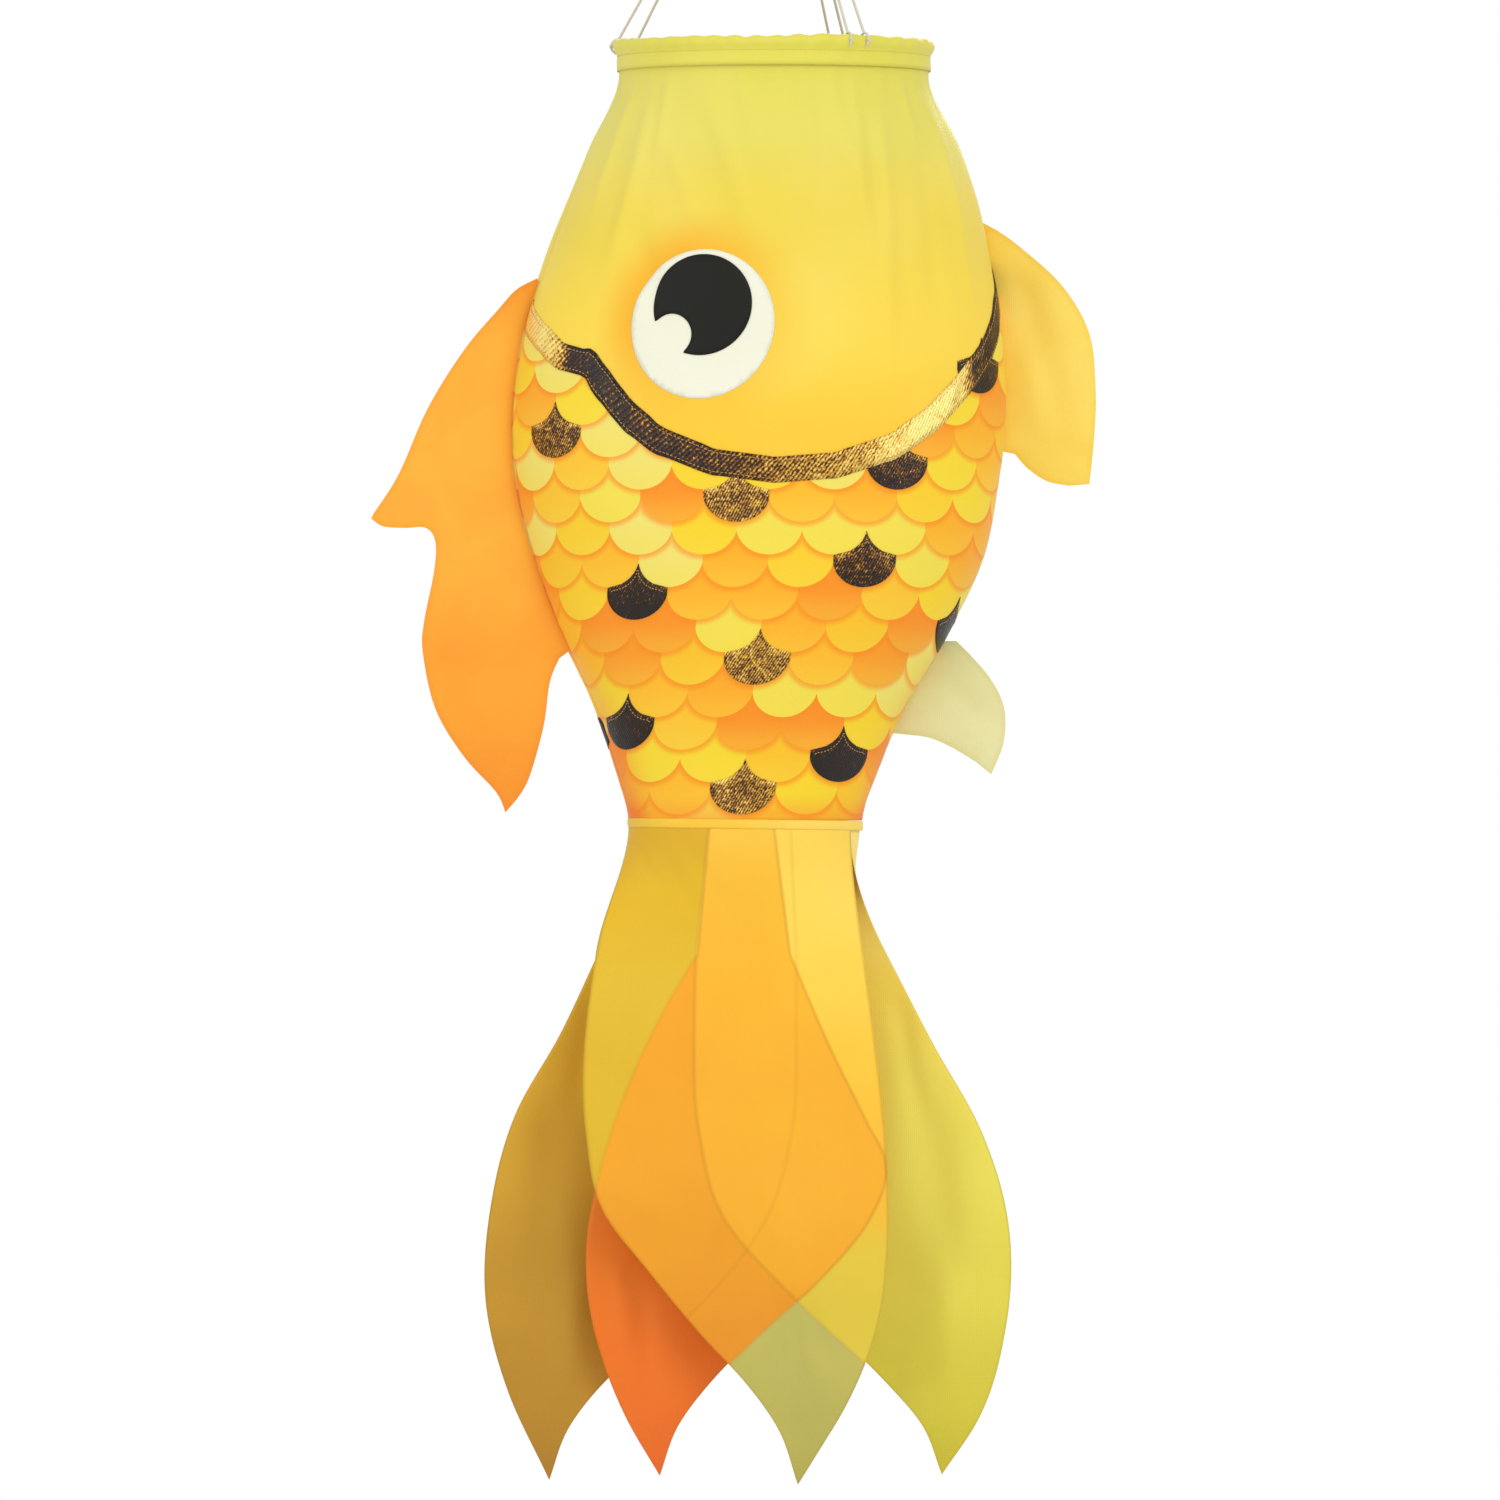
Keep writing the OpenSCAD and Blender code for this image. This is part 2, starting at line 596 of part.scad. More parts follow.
swivel_top_eye();
swivel_balls();
swivel_barrel();
swivel_bottom_eye();
link_ring();
bridle_loop();
bridle_knot();
for (k = [0:len(STRAND_FEET) - 1])
    bridle_strand(k);
hoop_hitches();
mouth_hoop();
hoop_ferrule();
mouth_hem();
side_panel_near();
side_panel_far();
gill_band_near();
gill_band_far();
eye_near();
eye_far();
pupil_near();
pupil_far();
foil_scales_near();
foil_scales_far();
tail_band();
dorsal_fin_root();
dorsal_fin();
breast_fin_root();
breast_fin();
anal_fin_root();
anal_fin();
front_petal_root();
front_petal();
inner_petal_root();
inner_petal();
right_petal_root();
right_petal();
left_petal_root();
left_petal();
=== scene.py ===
import math

import bmesh
import bpy
import numpy as np
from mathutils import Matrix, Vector, geometry


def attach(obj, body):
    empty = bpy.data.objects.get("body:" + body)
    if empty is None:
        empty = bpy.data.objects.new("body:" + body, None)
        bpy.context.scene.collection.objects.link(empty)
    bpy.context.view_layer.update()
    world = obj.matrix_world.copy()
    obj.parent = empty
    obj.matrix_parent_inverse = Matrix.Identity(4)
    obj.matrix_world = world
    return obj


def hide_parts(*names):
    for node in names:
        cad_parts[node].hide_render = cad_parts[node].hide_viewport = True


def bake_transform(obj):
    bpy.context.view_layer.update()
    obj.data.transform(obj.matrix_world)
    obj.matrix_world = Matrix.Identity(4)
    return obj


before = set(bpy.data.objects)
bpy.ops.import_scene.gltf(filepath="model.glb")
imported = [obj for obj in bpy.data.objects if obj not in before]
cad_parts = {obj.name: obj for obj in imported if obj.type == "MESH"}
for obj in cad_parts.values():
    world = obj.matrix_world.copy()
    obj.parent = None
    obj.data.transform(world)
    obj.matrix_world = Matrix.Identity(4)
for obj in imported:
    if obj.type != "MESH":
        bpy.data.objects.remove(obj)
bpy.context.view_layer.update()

# Camera: level with the middle of the fish and far off, so the mouth's near edge bows up only a
# few millimetres and the two sides are seen almost square on.
CAMERA_PLACE = (-0.0151, -9.0, -0.6607)
VIEW_HEIGHT = 0.945
SENSOR = 36
camera = bpy.data.cameras.new("camera")
camera.sensor_width = SENSOR
camera.lens = -CAMERA_PLACE[1] * SENSOR / VIEW_HEIGHT
camera.clip_end = 50
camera_object = bpy.data.objects.new("camera", camera)
camera_object.location = CAMERA_PLACE
camera_object.rotation_euler = (math.pi / 2, 0, 0)
bpy.context.scene.collection.objects.link(camera_object)
bpy.context.scene.camera = camera_object

# Bridle strands: six thin three-ply polyester cords in three pairs, drawn taut by the fish's
# weight from the hoop up to one knot. Every shape below is worked out in millimetres.
MM = 0.001
HANG = 214
MOUTH_D = 196
CORD_D = 1.8
PLY_PITCH = 7
# Degrees round the hoop where each strand is tied, and round the knot where it comes in.
STRAND_FEET = (180, 153, 68, 62, -62, -55)
STRAND_HEADS = (210, 150, 90, 30, -90, -30)
STRAND_FOOT_Z = -HANG + 0.6
STRAND_HEAD_Z = -43
STRAND_HEAD_R = 2.1
CORD_SIDES = 12
PLY_DEPTH = 0.2
# A wave texture's bands stand this far apart, in metres, over its scale.
BAND_GAP = 0.314


def linear(colour):
    """A linear colour from a hex sRGB one."""
    parts = [int(colour[i:i + 2], 16) / 255 for i in (0, 2, 4)]
    return [c / 12.92 if c <= 0.04045 else ((c + 0.055) / 1.055) ** 2.4 for c in parts] + [1.0]


def add(tree, kind, inputs=None, **settings):
    """Adds a node with its settings and its values or links, and gives its outputs."""
    made = tree.nodes.new(kind)
    for name, value in settings.items():
        setattr(made, name, value)
    for name, value in (inputs or {}).items():
        if isinstance(value, bpy.types.NodeSocket):
            tree.links.new(value, made.inputs[name])
        else:
            made.inputs[name].default_value = value
    return made.outputs


def new_material(name):
    """An empty material and its node tree."""
    material = bpy.data.materials.new(name)
    material.use_nodes = True
    material.node_tree.nodes.clear()
    return material, material.node_tree


def finish_material(tree, inputs):
    """Ends a material in one Principled shader."""
    shader = add(tree, "ShaderNodeBsdfPrincipled", inputs)[0]
    add(tree, "ShaderNodeOutputMaterial", {"Surface": shader})


def blend_colours(tree, factor, low, high, mode="MIX"):
    """The colour between two others, or one laid over the other in a given mode."""
    return add(tree, "ShaderNodeMix", {0: factor, 6: low, 7: high}, data_type="RGBA",
               blend_type=mode)[2]


def piece(name, points, faces, material, smooth=True):
    """A mesh object at the origin, from points in millimetres."""
    mesh = bpy.data.meshes.new(name)
    mesh.from_pydata((np.asarray(points, float) * MM).tolist(), [], [list(f) for f in faces])
    mesh.polygons.foreach_set("use_smooth", [smooth] * len(mesh.polygons))
    mesh.materials.append(material)
    mesh.update()
    made = bpy.data.objects.new(name, mesh)
    bpy.context.scene.collection.objects.link(made)
    return made


def lay_uv(made, across, down):
    """A UV map in metres of cloth or cord, from one pair of millimetre values a vertex."""
    layer = made.data.uv_layers.new(name="cloth")
    corners = np.empty(len(made.data.loops), int)
    made.data.loops.foreach_get("vertex_index", corners)
    uv = np.stack([np.asarray(across)[corners], np.asarray(down)[corners]], axis=1) * MM
    layer.data.foreach_set("uv", uv.astype(np.float32).ravel())


def grid_faces(rows, columns, closed=False):
    """Quads over rows of points; closed joins the last column to the first."""
    faces = []
    for i in range(rows - 1):
        for j in range(columns if closed else columns - 1):
            n = (j + 1) % columns
            faces.append((i * columns + j, i * columns + n,
                          (i + 1) * columns + n, (i + 1) * columns + j))
    return faces


def cord_piece(name, path, diameter, material, ring_gap=0.5, loop=False):
    """A three-ply laid cord swept along a path in millimetres; loop joins its two ends. The
    plies make a whole number of turns, so that a loop closes."""
    path = np.asarray(path, float)
    if loop:
        path = np.vstack([path, path[:1]])
    gaps = np.linalg.norm(np.diff(path, axis=0), axis=1)
    along = np.concatenate([[0], np.cumsum(gaps)])
    rings = max(8, int(along[-1] / ring_gap))
    place = np.linspace(0, along[-1], rings + 1)
    centre = np.stack([np.interp(place, along, path[:, k]) for k in range(3)], axis=1)
    if loop:
        centre, place = centre[:-1], place[:-1]
        ahead = np.roll(centre, -1, axis=0) - np.roll(centre, 1, axis=0)
    else:
        ahead = np.gradient(centre, axis=0)
    ahead /= np.linalg.norm(ahead, axis=1)[:, None]
    side = np.cross(ahead[0], (0, 0, 1) if abs(ahead[0][2]) < 0.95 else (1, 0, 0))
    turns = np.linspace(0, 2 * math.pi, CORD_SIDES, endpoint=False)
    plies = max(1, round(along[-1] / PLY_PITCH)) * 2 * math.pi / along[-1]
    points, around, down = [], [], []
    for c, a, l in zip(centre, ahead, place):
        side = side - a * np.dot(side, a)
        side /= np.linalg.norm(side)
        up = np.cross(a, side)
        groove = np.abs(np.cos(1.5 * (turns - plies * l)))
        radius = diameter / 2 * (1 - PLY_DEPTH + PLY_DEPTH * groove)
        points.append(c + radius[:, None] * (np.cos(turns)[:, None] * side
                                             + np.sin(turns)[:, None] * up))
        around.append(turns * diameter / 2)
        down.append(np.full(CORD_SIDES, l))
    rows = len(points)
    faces = grid_faces(rows, CORD_SIDES, closed=True)
    if loop:
        last = (rows - 1) * CORD_SIDES
        for j in range(CORD_SIDES):
            n = (j + 1) % CORD_SIDES
            faces.append((last + j, last + n, n, j))
    else:
        faces.append(tuple(range(CORD_SIDES))[::-1])
        faces.append(tuple((rows - 1) * CORD_SIDES + j for j in range(CORD_SIDES)))
    made = piece(name, np.concatenate(points), faces, material)
    lay_uv(made, np.concatenate(around), np.concatenate(down))
    return made


# Three-ply polyester cord, twisted from white filament: soft sheen, with each ply's fibres
# running slantwise. The fibres are drawn 0.25 mm wide, coarser than the real ones.
cord_white, tree = new_material("laid_polyester_cord")
uv = add(tree, "ShaderNodeUVMap", uv_map="cloth")[0]
fibre = add(tree, "ShaderNodeTexWave", {"Vector": uv, "Scale": BAND_GAP / (0.25 * MM),
                                        "Distortion": 2.0}, bands_direction="DIAGONAL")[0]
dust = add(tree, "ShaderNodeTexNoise", {"Vector": uv, "Scale": 120.0, "Detail": 3.0})[0]
shade = blend_colours(tree, dust, linear("F1EDDF"), linear("D9D3C0"))
shade = blend_colours(tree, fibre, blend_colours(tree, 1.0, shade, linear("E4DFD0"), "MULTIPLY"),
                      shade)
bump = add(tree, "ShaderNodeBump", {"Height": fibre, "Strength": 0.4, "Distance": 0.0002})[0]
finish_material(tree, {"Base Color": shade, "Normal": bump, "Roughness": 0.6,
                       "Sheen Weight": 0.3})

strands = []
for k, (foot, head) in enumerate(zip(np.radians(STRAND_FEET), np.radians(STRAND_HEADS)), 1):
    low = np.array([MOUTH_D / 2 * math.cos(foot), MOUTH_D / 2 * math.sin(foot), STRAND_FOOT_Z])
    high = np.array([STRAND_HEAD_R * math.cos(head), STRAND_HEAD_R * math.sin(head),
                     STRAND_HEAD_Z])
    path = [low + (high - low) * t for t in np.linspace(0, 1, 21)]
    strand = cord_piece(f"strand_{k}", path, CORD_D, cord_white)
    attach(strand, "sock")
    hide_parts(f"bridle_strand_{k}")
    strands.append(strand)

# Knot and loop: the six strands come together in a coil knot of their own cord. One bight runs
# on up as the loop through the link ring, and six trimmed ends stand out below.
KNOT_TOP = -36.2
KNOT_LOW = -43.6
KNOT_TURNS = 4
KNOT_R = 2.35
LOOP_Z = -32.95
LOOP_R = 2.6
KNOT_STEPS = 40
TAIL_START = 2
TAIL_END = 17.6
TAIL_Z = -41.6
TAIL_FALL = 0.18
TAIL_BOW = 0.64


def join(name, parts):
    """One plain mesh from several."""
    mesh = bpy.data.meshes.new(name)
    whole = bmesh.new()
    for part in parts:
        whole.from_mesh(part.data)
    whole.to_mesh(mesh)
    whole.free()
    mesh.materials.append(parts[0].data.materials[0])
    made = bpy.data.objects.new(name, mesh)
    bpy.context.scene.collection.objects.link(made)
    for part in parts:
        bpy.data.objects.remove(part)
    return made


parts = []
steps = np.linspace(0, 1, KNOT_STEPS * KNOT_TURNS)
turn = steps * 2 * math.pi * KNOT_TURNS
parts.append(cord_piece("coil", np.stack([KNOT_R * np.cos(turn), KNOT_R * np.sin(turn),
                                          KNOT_TOP + (KNOT_LOW - KNOT_TOP) * steps], axis=1),
                        CORD_D, cord_white))
parts.append(cord_piece("core", [(0, 0, KNOT_TOP), (0, 0, KNOT_LOW)], 2 * KNOT_R, cord_white))
for angle in np.radians(range(30, 390, 60)):
    out = np.linspace(0, 1, 12)
    reach = TAIL_START + out * (TAIL_END - TAIL_START)
    drop = TAIL_Z - TAIL_FALL * reach - TAIL_BOW * np.sin(out * math.pi)
    parts.append(cord_piece("end", np.stack([reach * math.cos(angle), reach * math.sin(angle),
                                             drop], axis=1), CORD_D, cord_white))
knot = join("knot", parts)
turn = np.linspace(0, 2 * math.pi, 48, endpoint=False)
loop = cord_piece("bridle_loop_cord", np.stack([LOOP_R * np.cos(turn), 0 * turn,
                                                LOOP_Z + LOOP_R * np.sin(turn)], axis=1),
                  CORD_D, cord_white, loop=True)
for made, node in ((knot, "bridle_knot"), (loop, "bridle_loop")):
    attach(made, "sock")
    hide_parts(node)

# Swivel and link ring: a nickel-plated ball-bearing swivel. The turned barrel is closed over the
# stem's head, both eyes are pressed from wire, and a plain ring links it to the bridle.
# Each eye's radius to the middle of its wire, the wire, and the width it is pressed to.
TOP_EYE = (5.1, 2.2, 2.4)
LOW_EYE = (3.25, 1.5, 1.8)
# Turned outlines, as radius and height.
TOP_STEM = [(0, -4.6), (1.6, -5.2), (1.15, -6.2), (1.1, -11.6), (2.6, -11.6), (2.7, -12.2),
            (2.6, -13.0), (0, -13.0)]
LOW_STEM = [(0, -16.0), (1.6, -16.0), (1.6, -18.7), (1.3, -19.4), (0, -19.6)]
BARREL = [(0, -8.5), (2.2, -8.5), (3.1, -8.7), (3.5, -9.3), (3.6, -10), (3.6, -11.4),
          (3.35, -11.7), (3.35, -12.1), (3.6, -12.4), (3.6, -16.4), (3.35, -16.7),
          (3.35, -17.0), (3.6, -17.3), (3.5, -17.9), (2.9, -18.4), (2.0, -18.5), (0, -18.5)]
LOW_EYE_Z = -22.2
LINK_Z = -28.0
LINK_R = 4.2
LINK_WIRE = 1.6
LATHE_SIDES = 48
WIRE_SIDES = 16


def lathe(name, profile, material):
    """A turned part, from radius and height down its outer line."""
    turns = np.linspace(0, 2 * math.pi, LATHE_SIDES, endpoint=False)
    points = [(r * math.cos(t), r * math.sin(t), z) for r, z in profile for t in turns]
    faces = [f[::-1] for f in grid_faces(len(profile), LATHE_SIDES, closed=True)]
    made = piece(name, points, faces, material)
    weld(made)
    return made


def weld(made):
    """Merges doubled points and turns every face outwards."""
    whole = bmesh.new()
    whole.from_mesh(made.data)
    bmesh.ops.remove_doubles(whole, verts=whole.verts, dist=1e-6)
    bmesh.ops.dissolve_degenerate(whole, edges=whole.edges, dist=1e-7)
    bmesh.ops.recalc_face_normals(whole, faces=whole.faces)
    whole.to_mesh(made.data)
    whole.free()


def ring(name, z, radius, wire, width, material, upright="y"):
    """A wire ring around the X or Y axis, its wire pressed to a width along that axis."""
    points = []
    for t in np.linspace(0, 2 * math.pi, LATHE_SIDES, endpoint=False):
        for u in np.linspace(0, 2 * math.pi, WIRE_SIDES, endpoint=False):
            r = radius + wire / 2 * math.cos(u)
            w = width / 2 * math.sin(u)
            flat = (r * math.cos(t), w, z + r * math.sin(t))
            points.append(flat if upright == "y" else (w, flat[0], flat[2]))
    faces = grid_faces(LATHE_SIDES, WIRE_SIDES, closed=True)
    last = (LATHE_SIDES - 1) * WIRE_SIDES
    for j in range(WIRE_SIDES):
        n = (j + 1) % WIRE_SIDES
        faces.append((last + j, last + n, n, j))
    made = piece(name, points, faces, material)
    weld(made)
    return made


# Nickel-plated steel, tumbled: a warm grey metal with fine turning lines and dulled high spots.
nickel, tree = new_material("nickel_plated_steel")
place = add(tree, "ShaderNodeTexCoord")["Object"]
lines = add(tree, "ShaderNodeTexWave", {"Vector": place, "Scale": BAND_GAP / (0.3 * MM),
                                        "Distortion": 1.0}, bands_direction="Z")[0]
cloud = add(tree, "ShaderNodeTexNoise", {"Vector": place, "Scale": 400.0, "Detail": 4.0})[0]
rough = add(tree, "ShaderNodeMapRange", {"Value": cloud, 3: 0.2, 4: 0.42})[0]
bump = add(tree, "ShaderNodeBump", {"Height": lines, "Strength": 0.12, "Distance": 0.0001})[0]
finish_material(tree, {"Base Color": blend_colours(tree, cloud, linear("C9C6BE"),
                                                   linear("A8A49A")),
                       "Metallic": 1.0, "Roughness": rough, "Normal": bump})
# Chrome-steel bearing balls, polished to a mirror.
ball_steel, tree = new_material("polished_bearing_steel")
place = add(tree, "ShaderNodeTexCoord")["Object"]
cloud = add(tree, "ShaderNodeTexNoise", {"Vector": place, "Scale": 900.0})[0]
finish_material(tree, {"Base Color": linear("D8D8D6"), "Metallic": 1.0,
                       "Roughness": add(tree, "ShaderNodeMapRange",
                                        {"Value": cloud, 3: 0.05, 4: 0.14})[0]})

top_eye = join("top_eye", [ring("eye", 0, *TOP_EYE, nickel), lathe("stem", TOP_STEM, nickel)])
low_eye = join("low_eye", [ring("eye", LOW_EYE_Z, *LOW_EYE, nickel),
                           lathe("stem", LOW_STEM, nickel)])
barrel = lathe("barrel", BARREL, nickel)
link = ring("link", LINK_Z, LINK_R, LINK_WIRE, LINK_WIRE, nickel, upright="x")
for made, body, node in ((top_eye, "hanger", "swivel_top_eye"),
                         (low_eye, "swivel", "swivel_bottom_eye"),
                         (barrel, "swivel", "swivel_barrel"), (link, "link", "link_ring")):
    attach(made, body)
    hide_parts(node)
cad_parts["swivel_balls"].material_slots[0].material = ball_steel

# Hoop and its joining sleeve: a drawn glass-fibre rod bent round to 196 mm, its two ends pushed
# into a short drawn brass tube. Both lie inside the hem.
glass_rod, tree = new_material("drawn_glass_fibre_rod")
place = add(tree, "ShaderNodeTexCoord")["Object"]
grain = add(tree, "ShaderNodeTexNoise", {"Vector": place, "Scale": 300.0, "Detail": 5.0})[0]
finish_material(tree, {"Base Color": blend_colours(tree, grain, linear("F2F0E8"),
                                                   linear("DAD6C6")),
                       "Roughness": 0.35, "Normal": add(tree, "ShaderNodeBump",
                                                        {"Height": grain, "Strength": 0.1})[0]})
brass, tree = new_material("drawn_brass_tube")
place = add(tree, "ShaderNodeTexCoord")["Object"]
grain = add(tree, "ShaderNodeTexNoise", {"Vector": place, "Scale": 500.0, "Detail": 4.0})[0]
finish_material(tree, {"Base Color": blend_colours(tree, grain, linear("B98E45"),
                                                   linear("9A7434")),
                       "Metallic": 1.0, "Roughness": 0.3})
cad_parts["mouth_hoop"].material_slots[0].material = glass_rod
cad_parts["hoop_ferrule"].material_slots[0].material = brass

# Shape of the sock: the two side panels are cut to one outline and sewn down the back and the
# belly, so air fills them to an oval. Each row gives a drop below the rim, the half width, the
# half depth and the shift of the oval's middle.
SOCK = np.array([
    (12, 97, 96, 0), (24, 97, 95, 0), (67, 116, 103, 0), (100, 128, 101, -1),
    (136, 139, 98, -4), (190, 152, 94, -8), (235, 155.5, 93, -10.5), (270, 153.5, 92, -11.5),
    (325, 142, 86, -10.5), (370, 123.5, 77, -12.5), (418, 98, 62, -15), (457, 83, 50, -17),
    (491, 73, 43, -18), (505, 73, 43, -18)], float)
PANEL_TOP = 12
PANEL_END = 491
CLOTH_OFF = 0.5
HALF_GIRTH = 390
SEAM_TURN = 8
NEAR_MIDDLE = 270 + SEAM_TURN
NEAR = 1
FAR = -1
# The gill's line: the share of the way round a side, from the back seam, and the drop there.
GILL_LINE = np.array([
    (0, 171), (0.02, 174.5), (0.1, 188), (0.155, 200), (0.21, 205), (0.247, 221), (0.281, 237),
    (0.326, 253), (0.4, 267), (0.48, 272), (0.56, 269), (0.64, 257), (0.7, 240), (0.76, 219),
    (0.82, 198), (0.9, 172), (1, 146)], float)
# Soft folds of the filled cloth: two ends, each a place along the cloth and a drop, then the
# fold's height and width.
FOLDS = [(-118, 26, -148, 120, 2.6, 5), (-96, 24, -128, 170, 2.8, 6), (-62, 20, -24, 150, 2.6, 7),
         (-84, 20, -96, 90, 1.9, 4), (-36, 20, -30, 80, 1.5, 4), (4, 20, 8, 100, 1.5, 4),
         (36, 20, 40, 130, 1.8, 4), (76, 20, 84, 80, 1.6, 4), (-110, 110, -74, 210, -1.9, 7),
         (18, 22, 60, 190, 2.6, 7), (52, 22, 62, 230, 2.6, 5), (100, 22, 128, 190, 2.6, 7),
         (-6, 90, 30, 210, -1.5, 8), (84, 60, 96, 200, -1.6, 7), (-90, 60, -60, 130, 1.5, 5),
         (-120, 270, -60, 330, -1.0, 10), (40, 300, 90, 400, 1.2, 12),
         (-40, 380, -60, 480, 1.2, 9), (20, 400, 25, 485, -1.0, 8)]


def curve(x, xs, ys):
    """A smooth line through points that are not evenly spaced."""
    x = np.clip(np.asarray(x, float), xs[0], xs[-1])
    slope = np.gradient(ys, xs)
    i = np.clip(np.searchsorted(xs, x) - 1, 0, len(xs) - 2)
    h = xs[i + 1] - xs[i]
    t = (x - xs[i]) / h
    return ((2 * t**3 - 3 * t**2 + 1) * ys[i] + (t**3 - 2 * t**2 + t) * h * slope[i]
            + (3 * t**2 - 2 * t**3) * ys[i + 1] + (t**3 - t**2) * h * slope[i + 1])


def ease(low, high, x):
    """Rises smoothly from 0 at low to 1 at high."""
    t = np.clip((np.asarray(x, float) - low) / (high - low), 0, 1)
    return t * t * (3 - 2 * t)


def wall(angle, drop, off):
    """Points of the filled sock at an angle around it, a drop and a height off the cloth."""
    wide, deep, shift = (curve(drop, SOCK[:, 0], SOCK[:, k]) for k in (1, 2, 3))
    across = shift + (wide + off) * np.cos(angle)
    through = (deep + off) * np.sin(angle)
    down = -HANG - np.asarray(drop, float)
    return np.stack(np.broadcast_arrays(across, through, down), axis=-1)


def side_angle(part, side):
    """The angle that lies part of the way round one side, from the back seam to the belly."""
    return np.radians(180 + SEAM_TURN + side * 180 * np.asarray(part, float))


ROWS = np.arange(PANEL_TOP, PANEL_END + 1.0)
PARTS = np.linspace(0, 1, 241)


def cloth_table(side):
    """Distance along the cloth from a side's middle line, for each row and part."""
    points = wall(side_angle(PARTS, side)[None, :], ROWS[:, None], CLOTH_OFF)
    gaps = np.linalg.norm(np.diff(points, axis=1), axis=2)
    along = np.concatenate([np.zeros((len(ROWS), 1)), np.cumsum(gaps, axis=1)], axis=1)
    middle = len(PARTS) // 2
    return along - along[:, middle:middle + 1]


CLOTH = {side: cloth_table(side) for side in (NEAR, FAR)}


def look_up(values, drop, side, back):
    """Reads the cloth table at each drop, from part to distance or, with back, from distance
    to part."""
    row = np.clip(np.asarray(drop, float) - PANEL_TOP, 0, len(ROWS) - 1.001)
    found = []
    for value, r in zip(np.ravel(values), np.ravel(row)):
        i, f = int(r), r - int(r)
        pair = [np.interp(value, CLOTH[side][k], PARTS) if back
                else np.interp(value, PARTS, CLOTH[side][k]) for k in (i, i + 1)]
        found.append(pair[0] * (1 - f) + pair[1] * f)
    return np.array(found)


def ripple(along, down, seed, lengths, count=6):
    """Smooth unevenness between -1 and 1: waves of given lengths along and down the cloth."""
    draw = np.random.default_rng(seed)
    total = 0
    for _ in range(count):
        a, d = (draw.choice((-1, 1)) * 2 * math.pi / (draw.uniform(0.7, 1.4) * length)
                for length in lengths)
        total = total + np.sin(a * along + d * down + draw.uniform(0, 2 * math.pi))
    return total / count


def ridges(across, down, folds):
    """Height of soft folds, each given by its two ends, its height and its width."""
    total = 0
    for x0, d0, x1, d1, height, width in folds:
        line = np.array([x1 - x0, d1 - d0], float)
        length = np.linalg.norm(line)
        t = ((across - x0) * line[0] + (down - d0) * line[1]) / length**2
        away = ((across - x0) * line[1] - (down - d0) * line[0]) / length
        total = total + height * np.exp(-(away / width) ** 2) * ease(0, 0.3, t) * ease(1, 0.6, t)
    return total


def relief(part, along, drop, side):
    """How far the cloth stands off the smooth shape: gathers, puckers, folds and seams."""
    seam = np.minimum(part, 1 - part) * HALF_GIRTH
    total = 1.1 * np.exp(-(drop - PANEL_TOP) / 26) * ripple(along, drop, 11 + side, (13, 190))
    total = total + 0.9 * np.exp(-(PANEL_END - drop) / 22) * ripple(along, drop, 21 + side,
                                                                    (16, 200))
    total = total + 0.9 * ripple(along, drop, 31 + side, (95, 150))
    gill = drop - np.interp(part, GILL_LINE[:, 0], GILL_LINE[:, 1])
    total = total + 0.45 * np.exp(-(gill / 20) ** 2) * ripple(along, drop, 51 + side, (14, 60))
    total = (total + ridges(along, drop, FOLDS)) * ease(0, 14, seam)
    total = total - 1.3 * np.exp(-(seam / 5) ** 2)
    which_seam = np.where(np.asarray(part) < 0.5, 0, 400)
    total = total + 0.5 * np.exp(-seam / 10) * ripple(which_seam, drop, 41, (60, 14))
    return total * ease(16, 32, drop) * ease(PANEL_END - 6, PANEL_END - 26, drop)


def on_side(part, along, drop, side, off):
    """Points on one side's cloth, its folds and gathers included."""
    return wall(side_angle(part, side), drop, off + relief(part, along, drop, side))


def on_cloth(along, drop, side, off):
    """The same, found from the distance along the cloth."""
    return on_side(look_up(along, drop, side, True), along, drop, side, off)


def place_along(x, drop):
    """Distance along the near side's cloth of a place given sideways."""
    wide, shift = (curve(drop, SOCK[:, 0], SOCK[:, k]) for k in (1, 3))
    part = (180 - SEAM_TURN - math.degrees(math.acos((x - shift) / wide))) / 180
    return look_up([part], [drop], NEAR, False)[0]


def note(made, name, values):
    """A number for each vertex that a material reads."""
    attribute = made.data.attributes.new(name, "FLOAT", "POINT")
    attribute.data.foreach_set("value", np.asarray(values, np.float32).ravel())


def thicken(made, thickness):
    """Gives a sheet its real thickness."""
    solid = made.modifiers.new("thickness", "SOLIDIFY")
    solid.thickness = thickness * MM
    solid.offset = 0


def settle(made):
    """Bakes the modifiers into the mesh."""
    graph = bpy.context.evaluated_depsgraph_get()
    mesh = bpy.data.meshes.new_from_object(made.evaluated_get(graph), depsgraph=graph)
    made.modifiers.clear()
    made.data = mesh


